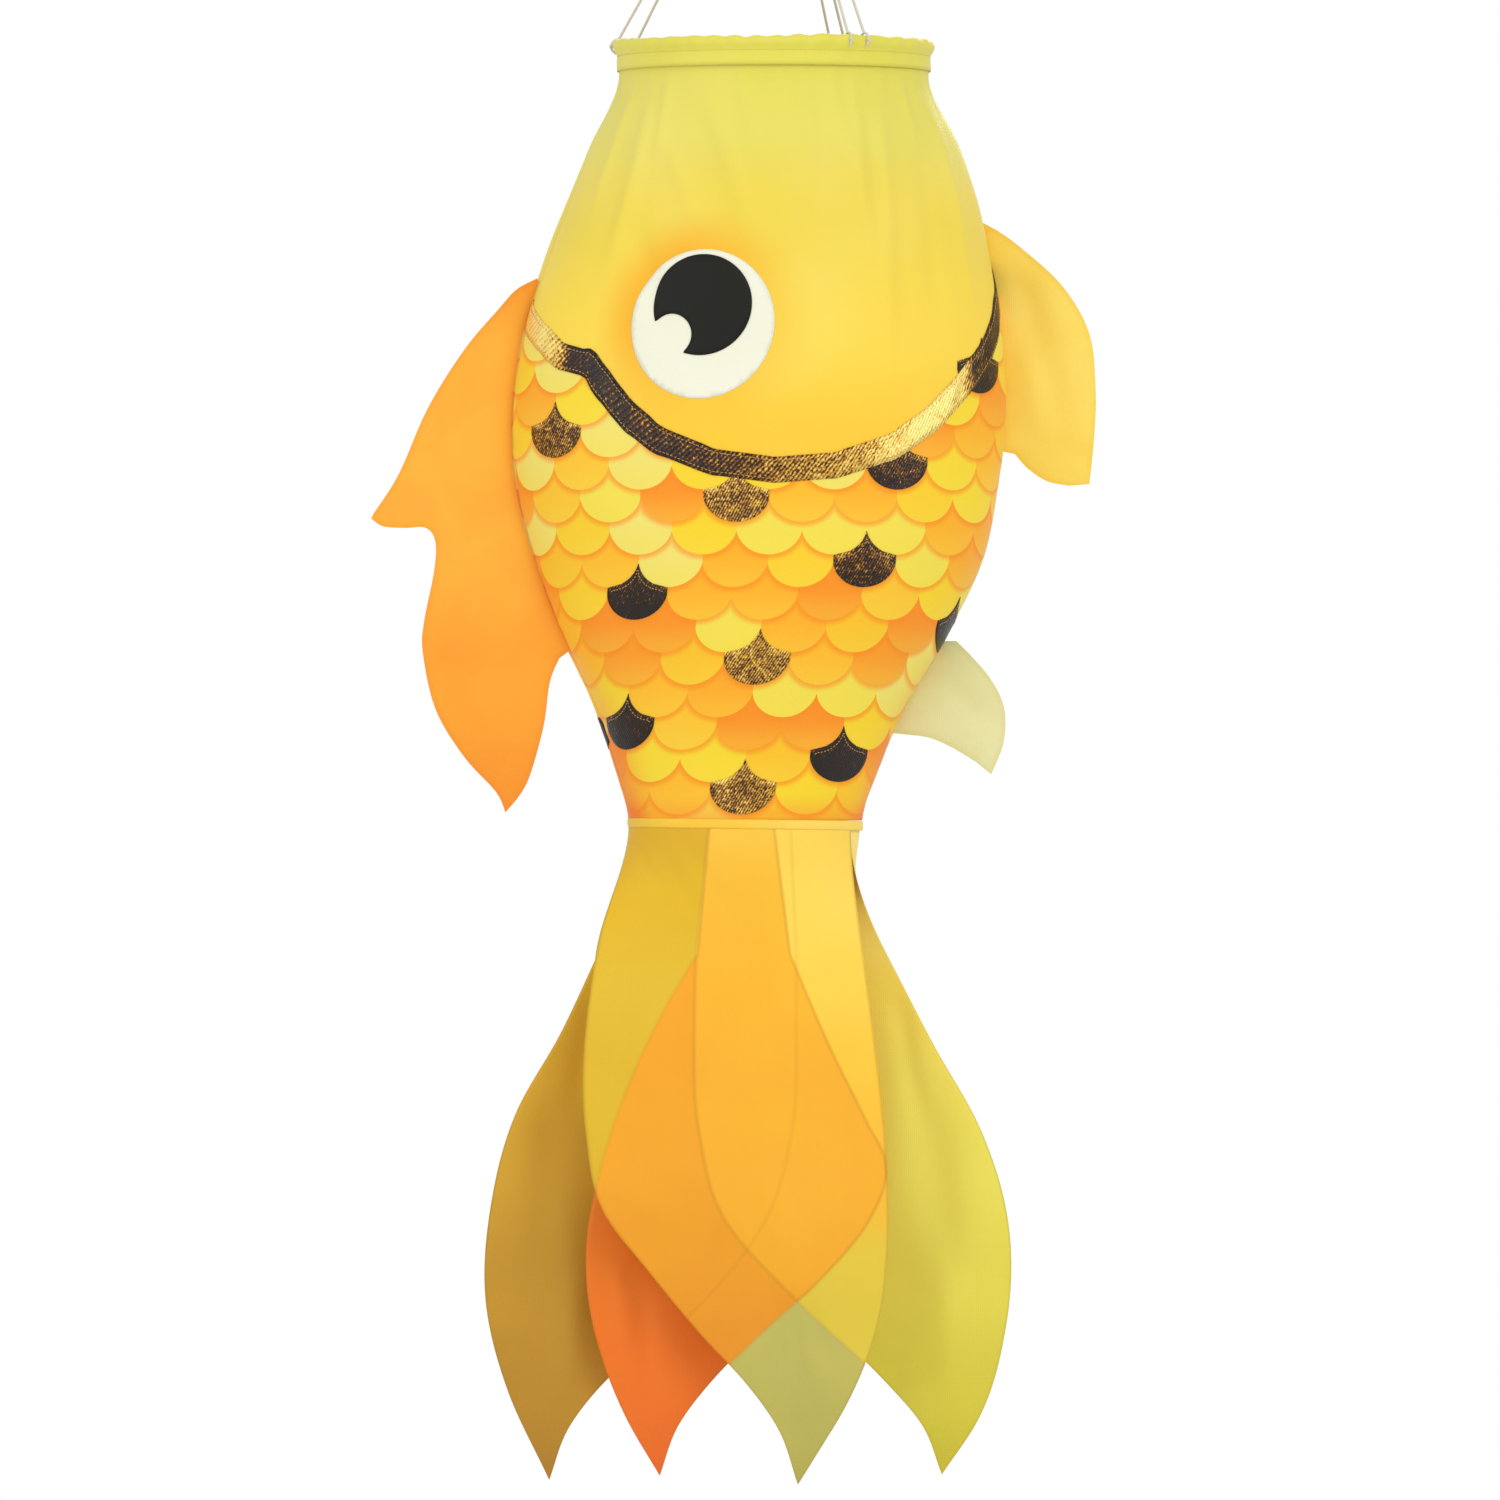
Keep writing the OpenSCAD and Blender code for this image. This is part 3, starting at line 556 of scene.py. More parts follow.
def woven(name, hue, thread=1.3, roughness=0.5, sheen=0.12):
    """Plain-woven polyester: hue draws its dye or print on the cloth's own UV. The threads are
    drawn 1 to 1.3 mm apart, coarser than the real 0.25 mm, so that the weave can be seen."""
    material, tree = new_material(name)
    uv = add(tree, "ShaderNodeUVMap", uv_map="cloth")[0]
    scale = BAND_GAP / (thread * MM)
    warp = add(tree, "ShaderNodeTexWave", {"Vector": uv, "Scale": scale, "Distortion": 0.6},
               bands_direction="X")[1]
    weft = add(tree, "ShaderNodeTexWave", {"Vector": uv, "Scale": scale, "Distortion": 0.6},
               bands_direction="Y")[1]
    weave = add(tree, "ShaderNodeMath", {0: warp, 1: weft}, operation="MULTIPLY")[0]
    crease = add(tree, "ShaderNodeTexNoise", {"Vector": uv, "Scale": 45.0, "Detail": 4.0,
                                              "Distortion": 0.8})[0]
    height = add(tree, "ShaderNodeMath", {0: crease, 1: 1.4, 2: weave},
                 operation="MULTIPLY_ADD")[0]
    bump = add(tree, "ShaderNodeBump", {"Height": height, "Strength": 0.22,
                                        "Distance": 0.0004})[0]
    shade = blend_colours(tree, 0.06, hue(tree, uv), weave, "SOFT_LIGHT")
    finish_material(tree, {"Base Color": shade, "Normal": bump, "Roughness": roughness,
                           "Sheen Weight": sheen, "Sheen Roughness": 0.4,
                           "Specular IOR Level": 0.2})
    return material


# Mouth hem: the sock's top edge is turned in over the hoop and sewn down 10 mm below the rim, so
# two layers show as a slightly deeper band as far down as the turned edge at 19 mm.
HEM_LINE = 10
HEM_EDGE = 19.4
HEM_ROLL = 9
HEM_T = 0.3
# The hem's section as distance out from the hoop's line and drop, from the outer layer's turned
# edge up over the hoop and down inside.
HEM_PROFILE = [(0.5, HEM_EDGE), (0.55, 16.5), (0.5, 13), (0.25, HEM_LINE), (1.3, 8.2), (2.5, 6.2),
               (3.0, 4.2), (2.8, 2.2), (2.1, 0.8), (0.6, 0.1), (-1.0, 0.1), (-2.4, 0.9),
               (-3.2, 2.4), (-3.4, 4.2), (-3.0, 6.4), (-1.9, 8.6), (-1.2, HEM_LINE),
               (-1.9, 14), (-2.2, 17)]
HEM_COLUMNS = 320
EYE_PLACE = (-45, 181)
LEMON = ("E3DB58", "E7DC62", "F0D850", "FADA4E", "FDCD3A", "FDBE32")
HALO_NEAR = 0.040
HALO_FAR = 0.076


def hem_wave(turns, row, drop):
    """How far the hem stands out of round at each turn, most where it is rolled over."""
    loose = math.exp(-((row - HEM_ROLL) / 6) ** 2)
    wave = ripple(turns * MOUTH_D / 2, drop * 4.0, 5, (14, 90)) * (0.45 + 0.75 * loose)
    return wave * ease(HEM_EDGE, 14, drop)


def gradient(tree, value, stops, interpolation="EASE"):
    """A run of colours along a value, each given as a place and a hex colour."""
    ramp = add(tree, "ShaderNodeValToRGB", {0: value})
    band = ramp[0].node.color_ramp
    band.interpolation = interpolation
    while len(band.elements) < len(stops):
        band.elements.new(0.5)
    for element, (place, colour) in zip(band.elements, stops):
        element.position = place
        element.color = linear(colour)
    return ramp[0]


def head_hue(tree, uv):
    """The head's print: lemon at the mouth running to gold at the gill, with an orange halo
    round the upper left of the eye."""
    down = add(tree, "ShaderNodeSeparateXYZ", {0: uv})[1]
    share = add(tree, "ShaderNodeMapRange", {"Value": down, 1: 0.0, 2: 0.3})[0]
    shade = gradient(tree, share, [(0.0, LEMON[0]), (0.2, LEMON[1]), (0.36, LEMON[2]),
                                   (0.62, LEMON[3]), (0.84, LEMON[4]), (0.97, LEMON[5])])
    cloud = add(tree, "ShaderNodeTexNoise", {"Vector": uv, "Scale": 9.0, "Detail": 1.0})[0]
    shade = blend_colours(tree, add(tree, "ShaderNodeMapRange", {"Value": cloud, 1: 0.45, 2: 0.75,
                                                                  4: 0.35})[0],
                          shade, linear("F9E680"))
    eye = (place_along(*EYE_PLACE) * MM, EYE_PLACE[1] * MM, 0.0)
    away = add(tree, "ShaderNodeVectorMath", {0: uv, 1: eye}, operation="SUBTRACT")[0]
    reach = add(tree, "ShaderNodeVectorMath", {0: away}, operation="LENGTH")[1]
    lean = add(tree, "ShaderNodeVectorMath", {0: away, 1: (-9.0, -7.0, 0.0)},
               operation="DOT_PRODUCT")[1]
    ring_part = add(tree, "ShaderNodeMapRange", {"Value": reach, 1: HALO_NEAR, 2: HALO_FAR,
                                                 3: 1.0, 4: 0.0},
                    interpolation_type="SMOOTHSTEP")[0]
    upper_left = add(tree, "ShaderNodeMapRange", {"Value": lean, 1: -0.3, 2: 0.45, 3: 0.3,
                                                  4: 1.0})[0]
    halo = add(tree, "ShaderNodeMath", {0: ring_part, 1: upper_left}, operation="MULTIPLY")[0]
    return blend_colours(tree, halo, shade, linear("F9B426"))


head_cloth = woven("woven_polyester_head", head_hue)
turns = np.linspace(0, 2 * math.pi, HEM_COLUMNS, endpoint=False)
points, across, down = [], [], []
for k, (out, drop) in enumerate(HEM_PROFILE):
    wave = hem_wave(turns, k, drop)
    slow = np.sin(3 * turns + 1.0) + 0.6 * np.sin(7 * turns + 0.4)
    radius = MOUTH_D / 2 + out + wave
    if drop > 15 and out > 0:
        radius = radius + 0.2
    lift = (0.9 * wave - 0.6 * slow) * ease(8, 2, drop)
    points.append(np.stack([radius * np.cos(turns), radius * np.sin(turns),
                            -HANG - drop + lift - 0.8 * ease(8, 2, drop)], axis=1))
    across.append((turns - math.radians(NEAR_MIDDLE)) * MOUTH_D / 2)
    down.append(np.full(HEM_COLUMNS, min(drop, 12)))
hem = piece("mouth_hem_cloth", np.concatenate(points),
            [f[::-1] for f in grid_faces(len(HEM_PROFILE), HEM_COLUMNS, closed=True)], head_cloth)
lay_uv(hem, np.concatenate(across), np.concatenate(down))
thicken(hem, HEM_T)
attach(hem, "sock")
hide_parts("mouth_hem")

# Hitches: each strand's foot passes through an eyelet hole in the hem, round the hoop, and is
# knotted on the outside, with the knot drawn in against the cloth.
HITCH_R = 4.6
HITCH_CORD = 1.5
HITCH_SLANT = 0.5
HOOP_DROP = 3.6
TIE_CORD = 1.3
TIE_R = 1.2
TIE_FLAT = 0.6
TIE_PITCH = 0.14
TIE_IN = 0.2
UP = np.array([0, 0, 1])
parts = []
for foot in STRAND_FEET:
    foot = math.radians(foot)
    out = np.array([math.cos(foot), math.sin(foot), 0])
    along = np.array([-math.sin(foot), math.cos(foot), 0])
    middle = MOUTH_D / 2 * out + np.array([0, 0, -HANG - HOOP_DROP])
    turn = np.linspace(0, 2 * math.pi, 40, endpoint=False)
    path = (middle + HITCH_R * (np.cos(turn)[:, None] * out + np.sin(turn)[:, None] * UP)
            + HITCH_SLANT * np.sin(turn)[:, None] * along)
    parts.append(cord_piece("hitch", path, HITCH_CORD, cord_white, loop=True))
    turn = np.linspace(0, 4 * math.pi, 50)
    tie_path = (middle + (HITCH_R - TIE_IN) * out + (turn[:, None] - 6) * TIE_PITCH * along
                + TIE_R * (np.cos(turn)[:, None] * out * TIE_FLAT
                           + np.sin(turn)[:, None] * UP))
    parts.append(cord_piece("tie", tie_path, TIE_CORD, cord_white))
hitches = join("hitches", parts)
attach(hitches, "sock")
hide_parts("hoop_hitches")

# Side panels: two mirrored pieces of printed polyester, sewn together down the back and the
# belly. Below the gill the print shows overlapping scales, each a flat tint that lightens
# towards its round edge, with a soft orange shade where the scales above lie over it.
SCALE_PITCH = 41
ROW_PITCH = 20.3
SCALE_WIDE = 20.8
SCALE_HIGH = 18
FIRST_SCALE = (-13, 469)
PANEL_COLUMNS = 120
PANEL_ROWS = 200
CLOTH_T = 0.35
TINTS = ["FDB428", "FBC52A", "FC9F26", "F8DA34", "FEBE2C", "F4E052", "FB9624", "FAD02E",
         "FDAE28", "F2E270", "FCC732", "F9D62C"]


def scale_row_group():
    """For a place on the cloth and a row of scales: how far out the place lies on that row's
    nearest scale, how far down it, and that scale's own chance number."""
    group = bpy.data.node_groups.new("scale_in_row", "ShaderNodeTree")
    for name in ("Along", "Down", "Row"):
        group.interface.new_socket(name, in_out="INPUT", socket_type="NodeSocketFloat")
    for name in ("Out", "Height", "Chance"):
        group.interface.new_socket(name, in_out="OUTPUT", socket_type="NodeSocketFloat")
    given = add(group, "NodeGroupInput")
    odd = add(group, "ShaderNodeMath", {0: given["Row"], 1: 2.0}, operation="FLOORED_MODULO")[0]
    half = add(group, "ShaderNodeMath", {0: odd, 1: 0.5}, operation="MULTIPLY")[0]
    place = add(group, "ShaderNodeMath", {0: given["Along"], 1: half}, operation="SUBTRACT")[0]
    column = add(group, "ShaderNodeMath", {0: place}, operation="ROUND")[0]
    away = add(group, "ShaderNodeMath", {0: place, 1: column}, operation="SUBTRACT")[0]
    wide = add(group, "ShaderNodeMath", {0: away, 1: SCALE_PITCH / SCALE_WIDE},
               operation="MULTIPLY")[0]
    below = add(group, "ShaderNodeMath", {0: given["Down"], 1: given["Row"]}, operation="ADD")[0]
    high = add(group, "ShaderNodeMath", {0: below, 1: ROW_PITCH / SCALE_HIGH},
               operation="MULTIPLY")[0]
    spot = add(group, "ShaderNodeCombineXYZ", {0: wide, 1: high})[0]
    out = add(group, "ShaderNodeVectorMath", {0: spot}, operation="LENGTH")[1]
    name = add(group, "ShaderNodeCombineXYZ", {0: column, 1: given["Row"]})[0]
    chance = add(group, "ShaderNodeTexWhiteNoise", {0: name}, noise_dimensions="2D")[0]
    add(group, "NodeGroupOutput", {"Out": out, "Height": high, "Chance": chance})
    return group


SCALE_ROW = scale_row_group()


def scale_hue(tree, uv):
    """The body's print. The scale of the highest row that covers a place is the one seen."""
    start = add(tree, "ShaderNodeVectorMath", {0: uv, 1: (FIRST_SCALE[0] * MM,
                                                          FIRST_SCALE[1] * MM, 0.0)},
                operation="SUBTRACT")[0]
    sides = add(tree, "ShaderNodeSeparateXYZ", {0: start})
    along = add(tree, "ShaderNodeMath", {0: sides[0], 1: 1 / (SCALE_PITCH * MM)},
                operation="MULTIPLY")[0]
    down = add(tree, "ShaderNodeMath", {0: sides[1], 1: 1 / (ROW_PITCH * MM)},
               operation="MULTIPLY")[0]
    top = add(tree, "ShaderNodeMath", {0: SCALE_HIGH / ROW_PITCH, 1: down},
              operation="SUBTRACT")[0]
    here = add(tree, "ShaderNodeMath", {0: top}, operation="FLOOR")[0]
    rows = {}
    for name, step in (("over", 1.0), ("here", 0.0), ("under", -1.0)):
        row = add(tree, "ShaderNodeMath", {0: here, 1: step}, operation="ADD")[0]
        rows[name] = add(tree, "ShaderNodeGroup", {"Along": along, "Down": down, "Row": row},
                         node_tree=SCALE_ROW)
    inside = add(tree, "ShaderNodeMath", {0: rows["here"]["Out"], 1: 1.0},
                 operation="LESS_THAN")[0]
    seen = {}
    for name, low, high in (("chance", rows["under"]["Chance"], rows["here"]["Chance"]),
                            ("height", rows["under"]["Height"], rows["here"]["Height"]),
                            ("cover", rows["here"]["Out"], rows["over"]["Out"])):
        seen[name] = add(tree, "ShaderNodeMix", {0: inside, 2: low, 3: high})[0]
    tint = gradient(tree, seen["chance"], [(k / len(TINTS), c) for k, c in enumerate(TINTS)],
                    "CONSTANT")
    low = add(tree, "ShaderNodeMapRange", {"Value": seen["height"], 1: -0.2, 2: 1.0, 4: 0.3},
              interpolation_type="SMOOTHSTEP")[0]
    tint = blend_colours(tree, low, tint, linear("F8DE48"))
    shade = add(tree, "ShaderNodeMapRange", {"Value": seen["cover"], 1: 1.0, 2: 1.3, 3: 0.7,
                                             4: 0.0}, interpolation_type="SMOOTHERSTEP")[0]
    return blend_colours(tree, shade, tint, linear("F8901C"))


def panel_hue(tree, uv):
    """Head print above the gill line, scales below it, a deep orange run-out at the tail."""
    gill = add(tree, "ShaderNodeAttribute", attribute_name="below_gill")["Fac"]
    below = add(tree, "ShaderNodeMath", {0: gill, 1: 0.0}, operation="GREATER_THAN")[0]
    shade = blend_colours(tree, below, head_hue(tree, uv), scale_hue(tree, uv))
    corner = add(tree, "ShaderNodeAttribute", attribute_name="tail_corner")["Fac"]
    return blend_colours(tree, corner, shade, linear("F4801F"))


printed_cloth = woven("woven_polyester_printed", panel_hue)
part = np.tile(np.linspace(0, 1, PANEL_COLUMNS + 1), PANEL_ROWS + 1)
drop = np.repeat(np.linspace(PANEL_TOP, PANEL_END, PANEL_ROWS + 1), PANEL_COLUMNS + 1)
for side, word in ((NEAR, "near"), (FAR, "far")):
    along = look_up(part, drop, side, False)
    faces = grid_faces(PANEL_ROWS + 1, PANEL_COLUMNS + 1)
    if side == NEAR:
        faces = [f[::-1] for f in faces]
    panel = piece(f"panel_{word}", on_side(part, along, drop, side, CLOTH_OFF), faces,
                  printed_cloth)
    lay_uv(panel, along, drop)
    note(panel, "below_gill", drop - np.interp(part, GILL_LINE[:, 0], GILL_LINE[:, 1]))
    edge = np.minimum(part, 1 - part)
    note(panel, "tail_corner", 0.75 * ease(0.22, 0.0, edge) * ease(350, 490, drop)
         + 0.5 * ease(472, 491, drop))
    thicken(panel, CLOTH_T)
    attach(panel, "sock")
    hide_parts(f"side_panel_{word}")

# Gill strip: a foil-faced twill tape with a diagonal rib, pressed under along both edges and
# topstitched round each gill. The foil's dark and bright patches are painted reflections of the
# room, painted into its gold colour.
STRIP_H = 16
STRIP_COLUMNS = 220
STRIP_ROWS = 6
STRIP_OFF = 1.5
STRIP_T = 0.4
SLOPE_STEP = 0.012


def foil(name, rib, rib_turn):
    """Foil-faced twill: a metal film on ribbed cloth, darker and less metallic between its ribs.
    Its colour, dark brown to bright gold, holds painted reflections and glints of the room.
    """
    material, tree = new_material(name)
    uv = add(tree, "ShaderNodeUVMap", uv_map="cloth")[0]
    turned = add(tree, "ShaderNodeMapping", {"Vector": uv, "Rotation": (0.0, 0.0, rib_turn)})[0]
    ribs = add(tree, "ShaderNodeTexWave", {"Vector": turned, "Scale": BAND_GAP / (rib * MM),
                                           "Distortion": 2.5, "Detail": 2.0,
                                           "Detail Scale": 3.0}, bands_direction="X")[1]
    crinkle_and_painted_glare = add(tree, "ShaderNodeTexNoise", {"Vector": uv, "Scale": 95.0, "Detail": 3.0,
                                             "Distortion": 1.5})[0]
    glint = add(tree, "ShaderNodeTexNoise", {"Vector": uv, "Scale": 560.0, "Detail": 3.0})[0]
    # Painted reflection: the room's dark and bright patches that the foil mirrors, with its
    # crinkles and glints, are painted into its colour.
    painted_reflection = add(tree, "ShaderNodeAttribute", attribute_name="painted_reflection")["Fac"]
    lit = add(tree, "ShaderNodeMath", {0: crinkle_and_painted_glare, 1: 0.7, 2: painted_reflection},
              operation="MULTIPLY_ADD")[0]
    sparkle = add(tree, "ShaderNodeMath", {0: glint, 1: 1.15, 2: lit},
                  operation="MULTIPLY_ADD")[0]
    level = add(tree, "ShaderNodeMath", {0: ribs, 1: 0.3, 2: sparkle},
                operation="MULTIPLY_ADD")[0]
    share = add(tree, "ShaderNodeMapRange", {"Value": level, 1: 0.78, 2: 1.95})[0]
    shade = gradient(tree, share, [(0.0, "150C06"), (0.3, "261508"), (0.43, "5E3812"),
                                   (0.54, "A46E24"), (0.66, "E3AE38"), (0.84, "FFE584")],
                     "LINEAR")
    film = add(tree, "ShaderNodeMapRange", {"Value": share, 3: 0.2, 4: 0.6})[0]
    height = add(tree, "ShaderNodeMath", {0: crinkle_and_painted_glare, 1: 1.5, 2: ribs},
                 operation="MULTIPLY_ADD")[0]
    bump = add(tree, "ShaderNodeBump", {"Height": height, "Strength": 0.5,
                                        "Distance": 0.0005})[0]
    finish_material(tree, {"Base Color": shade, "Metallic": film, "Roughness": 0.3,
                           "Normal": bump})
    return material


strip_foil = foil("foil_faced_twill_tape", 2.2, 0.7)
# How bright the foil's painted reflection is along the strip, from the back seam to the belly.
PAINTED_GLEAM = np.array([(0, 0.75), (0.1, 0.8), (0.15, 0.5), (0.18, -0.05), (0.3, 0.0), (0.42, 0.1),
                  (0.5, 0.35), (0.6, 0.45), (0.68, 0.8), (0.76, 0.72), (0.79, 0.05),
                  (0.9, 0.0), (1, 0.1)])


def strip_edge(share, part):
    """Drop of a line that runs along the strip, from its lower edge at 0 to its upper at 1."""
    middle = np.interp(part, GILL_LINE[:, 0], GILL_LINE[:, 1])
    ahead, behind = (np.interp(part + step, GILL_LINE[:, 0], GILL_LINE[:, 1])
                     for step in (SLOPE_STEP, -SLOPE_STEP))
    slope = (ahead - behind) / (2 * SLOPE_STEP * HALF_GIRTH)
    return middle + (0.5 - share) * STRIP_H * np.sqrt(1 + np.minimum(slope, 1.1) ** 2)


for side, word in ((NEAR, "near"), (FAR, "far")):
    part = np.tile(np.linspace(0.004, 0.996, STRIP_COLUMNS + 1), STRIP_ROWS + 1)
    share = np.repeat(np.linspace(0, 1, STRIP_ROWS + 1), STRIP_COLUMNS + 1)
    drop = strip_edge(share, part)
    along = look_up(part, drop, side, False)
    crown = STRIP_OFF + 0.25 * ripple(along, drop, 61, (9, 30)) - 0.45 * (2 * share - 1) ** 6
    faces = grid_faces(STRIP_ROWS + 1, STRIP_COLUMNS + 1)
    strip = piece(f"gill_strip_{word}", on_side(part, along, drop, side, crown),
                  faces if side == NEAR else [f[::-1] for f in faces], strip_foil)
    lay_uv(strip, along, share * STRIP_H)
    note(strip, "painted_reflection", np.interp(part, PAINTED_GLEAM[:, 0], PAINTED_GLEAM[:, 1]))
    thicken(strip, STRIP_T)
    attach(strip, "sock")
    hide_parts(f"gill_band_{word}")

# Foil scales: patches of the same foil twill cut to a scale's seen shape, with a point at the
# top and a round end, and topstitched exactly over eleven of the printed scales.
# Each patch's column and row among the printed scales, and how bright its painted reflection is.
FOIL_SCALES = [(0, 0, 0.3), (1.5, 1, -0.15), (-2, 2, -0.12), (0, 4, 0.32), (3.5, 5, -0.18),
               (-2, 6, -0.05), (1.5, 7, 0.12), (-0.5, 9, 0.3), (2, 10, 0.08), (-3.5, 11, 0.2),
               (3.5, 13, -0.05)]
PATCH_ROWS = 22
PATCH_COLUMNS = 14
PATCH_OFF = 0.95
PATCH_T = 0.4
PATCH_TOP = -17.0
patch_foil = foil("foil_faced_twill_patch", 1.6, -0.5)


def scale_half(y):
    """Half the width of a scale's seen shape, at a height below its middle."""
    own = SCALE_WIDE * np.sqrt(np.clip(1 - (y / SCALE_HIGH) ** 2, 0, 1))
    over = np.sqrt(np.clip(1 - ((y + ROW_PITCH) / SCALE_HIGH) ** 2, 0, 1))
    return np.minimum(own, SCALE_PITCH / 2 - SCALE_WIDE * over)


def scale_place(column, row):
    """Middle of a printed scale: distance along the cloth, and drop."""
    return FIRST_SCALE[0] + column * SCALE_PITCH, FIRST_SCALE[1] - row * ROW_PITCH


for side, word in ((NEAR, "near"), (FAR, "far")):
    parts = []
    for column, row, painted_reflection in FOIL_SCALES:
        middle, height = scale_place(column, row)
        t = (1 - np.cos(np.linspace(0, math.pi, PATCH_ROWS + 1))) / 2
        y = np.repeat(PATCH_TOP + (SCALE_HIGH - PATCH_TOP) * t, PATCH_COLUMNS + 1)
        x = np.tile(np.linspace(-1, 1, PATCH_COLUMNS + 1), PATCH_ROWS + 1) * scale_half(y)
        faces = grid_faces(PATCH_ROWS + 1, PATCH_COLUMNS + 1)
        patch = piece("patch", on_cloth(middle + x, height + y, side, PATCH_OFF),
                      faces if side == FAR else [f[::-1] for f in faces], patch_foil)
        lay_uv(patch, middle + x, height + y)
        # Painted reflection: lighter towards the sides of each patch's lower half, and darker
        # near the top of the dim ones.
        note(patch, "painted_reflection", painted_reflection + 0.25 * np.abs(x) / SCALE_WIDE * (y < 0)
             - 0.12 * (y > 9) * (painted_reflection < 0.2))
        parts.append(patch)
    patch = join(f"foil_scales_{word}_cloth", parts)
    thicken(patch, PATCH_T)
    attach(patch, "sock")
    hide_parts(f"foil_scales_{word}")

# Eyes: an off-white cloth disc on each side and a black one over it, off its middle, with a
# round bite that lets the white show as a glint.
EYE_DISC_R = (45.5, 46.5)
PUPIL_PLACE = (-45, 169)
PUPIL_R = 31.5
# The bite's middle, from the pupil's, and its radius.
BITE = (-18.9, 18.9, 13.4)
EYE_OFF = 0.85
PUPIL_OFF = 1.35
DISC_T = 0.3
DISC_SPACING = 3.2
ROW_STEP = 0.87


def filled(outline, spacing):
    """A flat triangle mesh that fills an outline, with points inside it at a given spacing."""
    outline = np.asarray(outline, float)
    low, high = outline.min(0), outline.max(0)
    inner = []
    rows = int((high[1] - low[1]) / (spacing * ROW_STEP)) + 1
    for i in range(rows):
        y = low[1] + (i + 0.5) * spacing * ROW_STEP
        for x in np.arange(low[0] + (i % 2) * spacing / 2, high[0], spacing):
            inner.append((x, y))
    inner = np.array(inner)
    near, inside = edge_distance(inner, outline)
    inner = inner[inside & (near > spacing * 0.55)]
    every = [Vector(p) for p in np.vstack([outline, inner])]
    made = geometry.delaunay_2d_cdt(every, [], [list(range(len(outline)))], 1, 1e-5)
    return np.array([tuple(p) for p in made[0]]), [tuple(f) for f in made[2]]


def edge_distance(points, outline):
    """Each point's distance from an outline, and whether it lies inside."""
    ends = np.roll(outline, -1, axis=0)
    near = np.full(len(points), 1e9)
    crossings = np.zeros(len(points), int)
    for a, b in zip(outline, ends):
        line = b - a
        t = np.clip(((points - a) @ line) / max(line @ line, 1e-12), 0, 1)
        near = np.minimum(near, np.linalg.norm(points - a - t[:, None] * line, axis=1))
        spans = (a[1] > points[:, 1]) != (b[1] > points[:, 1])
        if abs(line[1]) > 1e-12:
            crossings += spans & (points[:, 0] < a[0] + (points[:, 1] - a[1]) * line[0] / line[1])
    return near, crossings % 2 == 1


def eye_hue(tree, uv):
    """Warm off-white print."""
    cloud = add(tree, "ShaderNodeTexNoise", {"Vector": uv, "Scale": 14.0})[0]
    return blend_colours(tree, cloud, linear("F6F5E4"), linear("EEEDD2"))


def pupil_hue(tree, uv):
    """Black print, slightly green, as flat ink on cloth is."""
    cloud = add(tree, "ShaderNodeTexNoise", {"Vector": uv, "Scale": 20.0})[0]
    return blend_colours(tree, cloud, linear("1E201A"), linear("171812"))


eye_cloth = woven("woven_polyester_off_white", eye_hue)
pupil_cloth = woven("woven_polyester_black", pupil_hue, sheen=0.1, roughness=0.55)
turn = np.linspace(0, 2 * math.pi, 96, endpoint=False)
eye_outline = np.stack([EYE_DISC_R[0] * np.cos(turn), EYE_DISC_R[1] * np.sin(turn)], axis=1)
round_rim = PUPIL_R * np.stack([np.cos(turn), np.sin(turn)], axis=1)
kept = np.linalg.norm(round_rim - BITE[:2], axis=1) > BITE[2]
first = int(np.argmax(kept & ~np.roll(kept, 1)))
round_rim = np.roll(round_rim, -first, axis=0)[:int(kept.sum())]
start, end = (math.atan2(*(p - BITE[:2])[::-1]) for p in (round_rim[-1], round_rim[0]))
bite_turn = np.linspace(start, end - 2 * math.pi if end > start else end, 30)[1:-1]
bite = np.stack([BITE[0] + BITE[2] * np.cos(bite_turn), BITE[1] + BITE[2] * np.sin(bite_turn)],
                axis=1)
pupil_outline = np.vstack([round_rim, bite])
discs = {NEAR: [], FAR: []}
for side, word in ((NEAR, "near"), (FAR, "far")):
    for name, outline, place, off, cloth, slot in (
            ("eye", eye_outline, EYE_PLACE, EYE_OFF, eye_cloth, "eye_white"),
            ("pupil", pupil_outline, PUPIL_PLACE, PUPIL_OFF, pupil_cloth, "pupil_black")):
        flat, faces = filled(outline, DISC_SPACING)
        along = place_along(*place) + flat[:, 0]
        drop = place[1] + flat[:, 1]
        disc = piece(f"{name}_{word}_cloth", on_cloth(along, drop, side, off),
                     [f[::-1] for f in faces] if side == NEAR else faces, cloth)
        lay_uv(disc, along, drop)
        thicken(disc, DISC_T)
        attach(disc, "sock")
        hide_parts(f"{name}_{word}")
        discs[side].append(disc)

# Tail band: a soft tape over the seam that joins the sock's narrow end to the petals. It is dyed
# like the petals beneath it, gold on the back side and paler towards the belly.
BAND_TOP = 490.5
BAND_LOW = 496.5
BAND_R = 60
BAND_T = 0.4
BAND_COLUMNS = 200
BAND_ROWS = 6


def band_hue(tree, uv):
    """Gold to pale yellow round the tape."""
    around = add(tree, "ShaderNodeSeparateXYZ", {0: uv})[0]
    share = add(tree, "ShaderNodeMapRange", {"Value": around, 1: -0.19, 2: 0.19})[0]
    return gradient(tree, share, [(0.0, "E2BC40"), (0.25, "E8C444"), (0.42, "FBC940"),
                                  (0.6, "FDD860"), (0.85, "FCE37A"), (1.0, "E2BC40")])


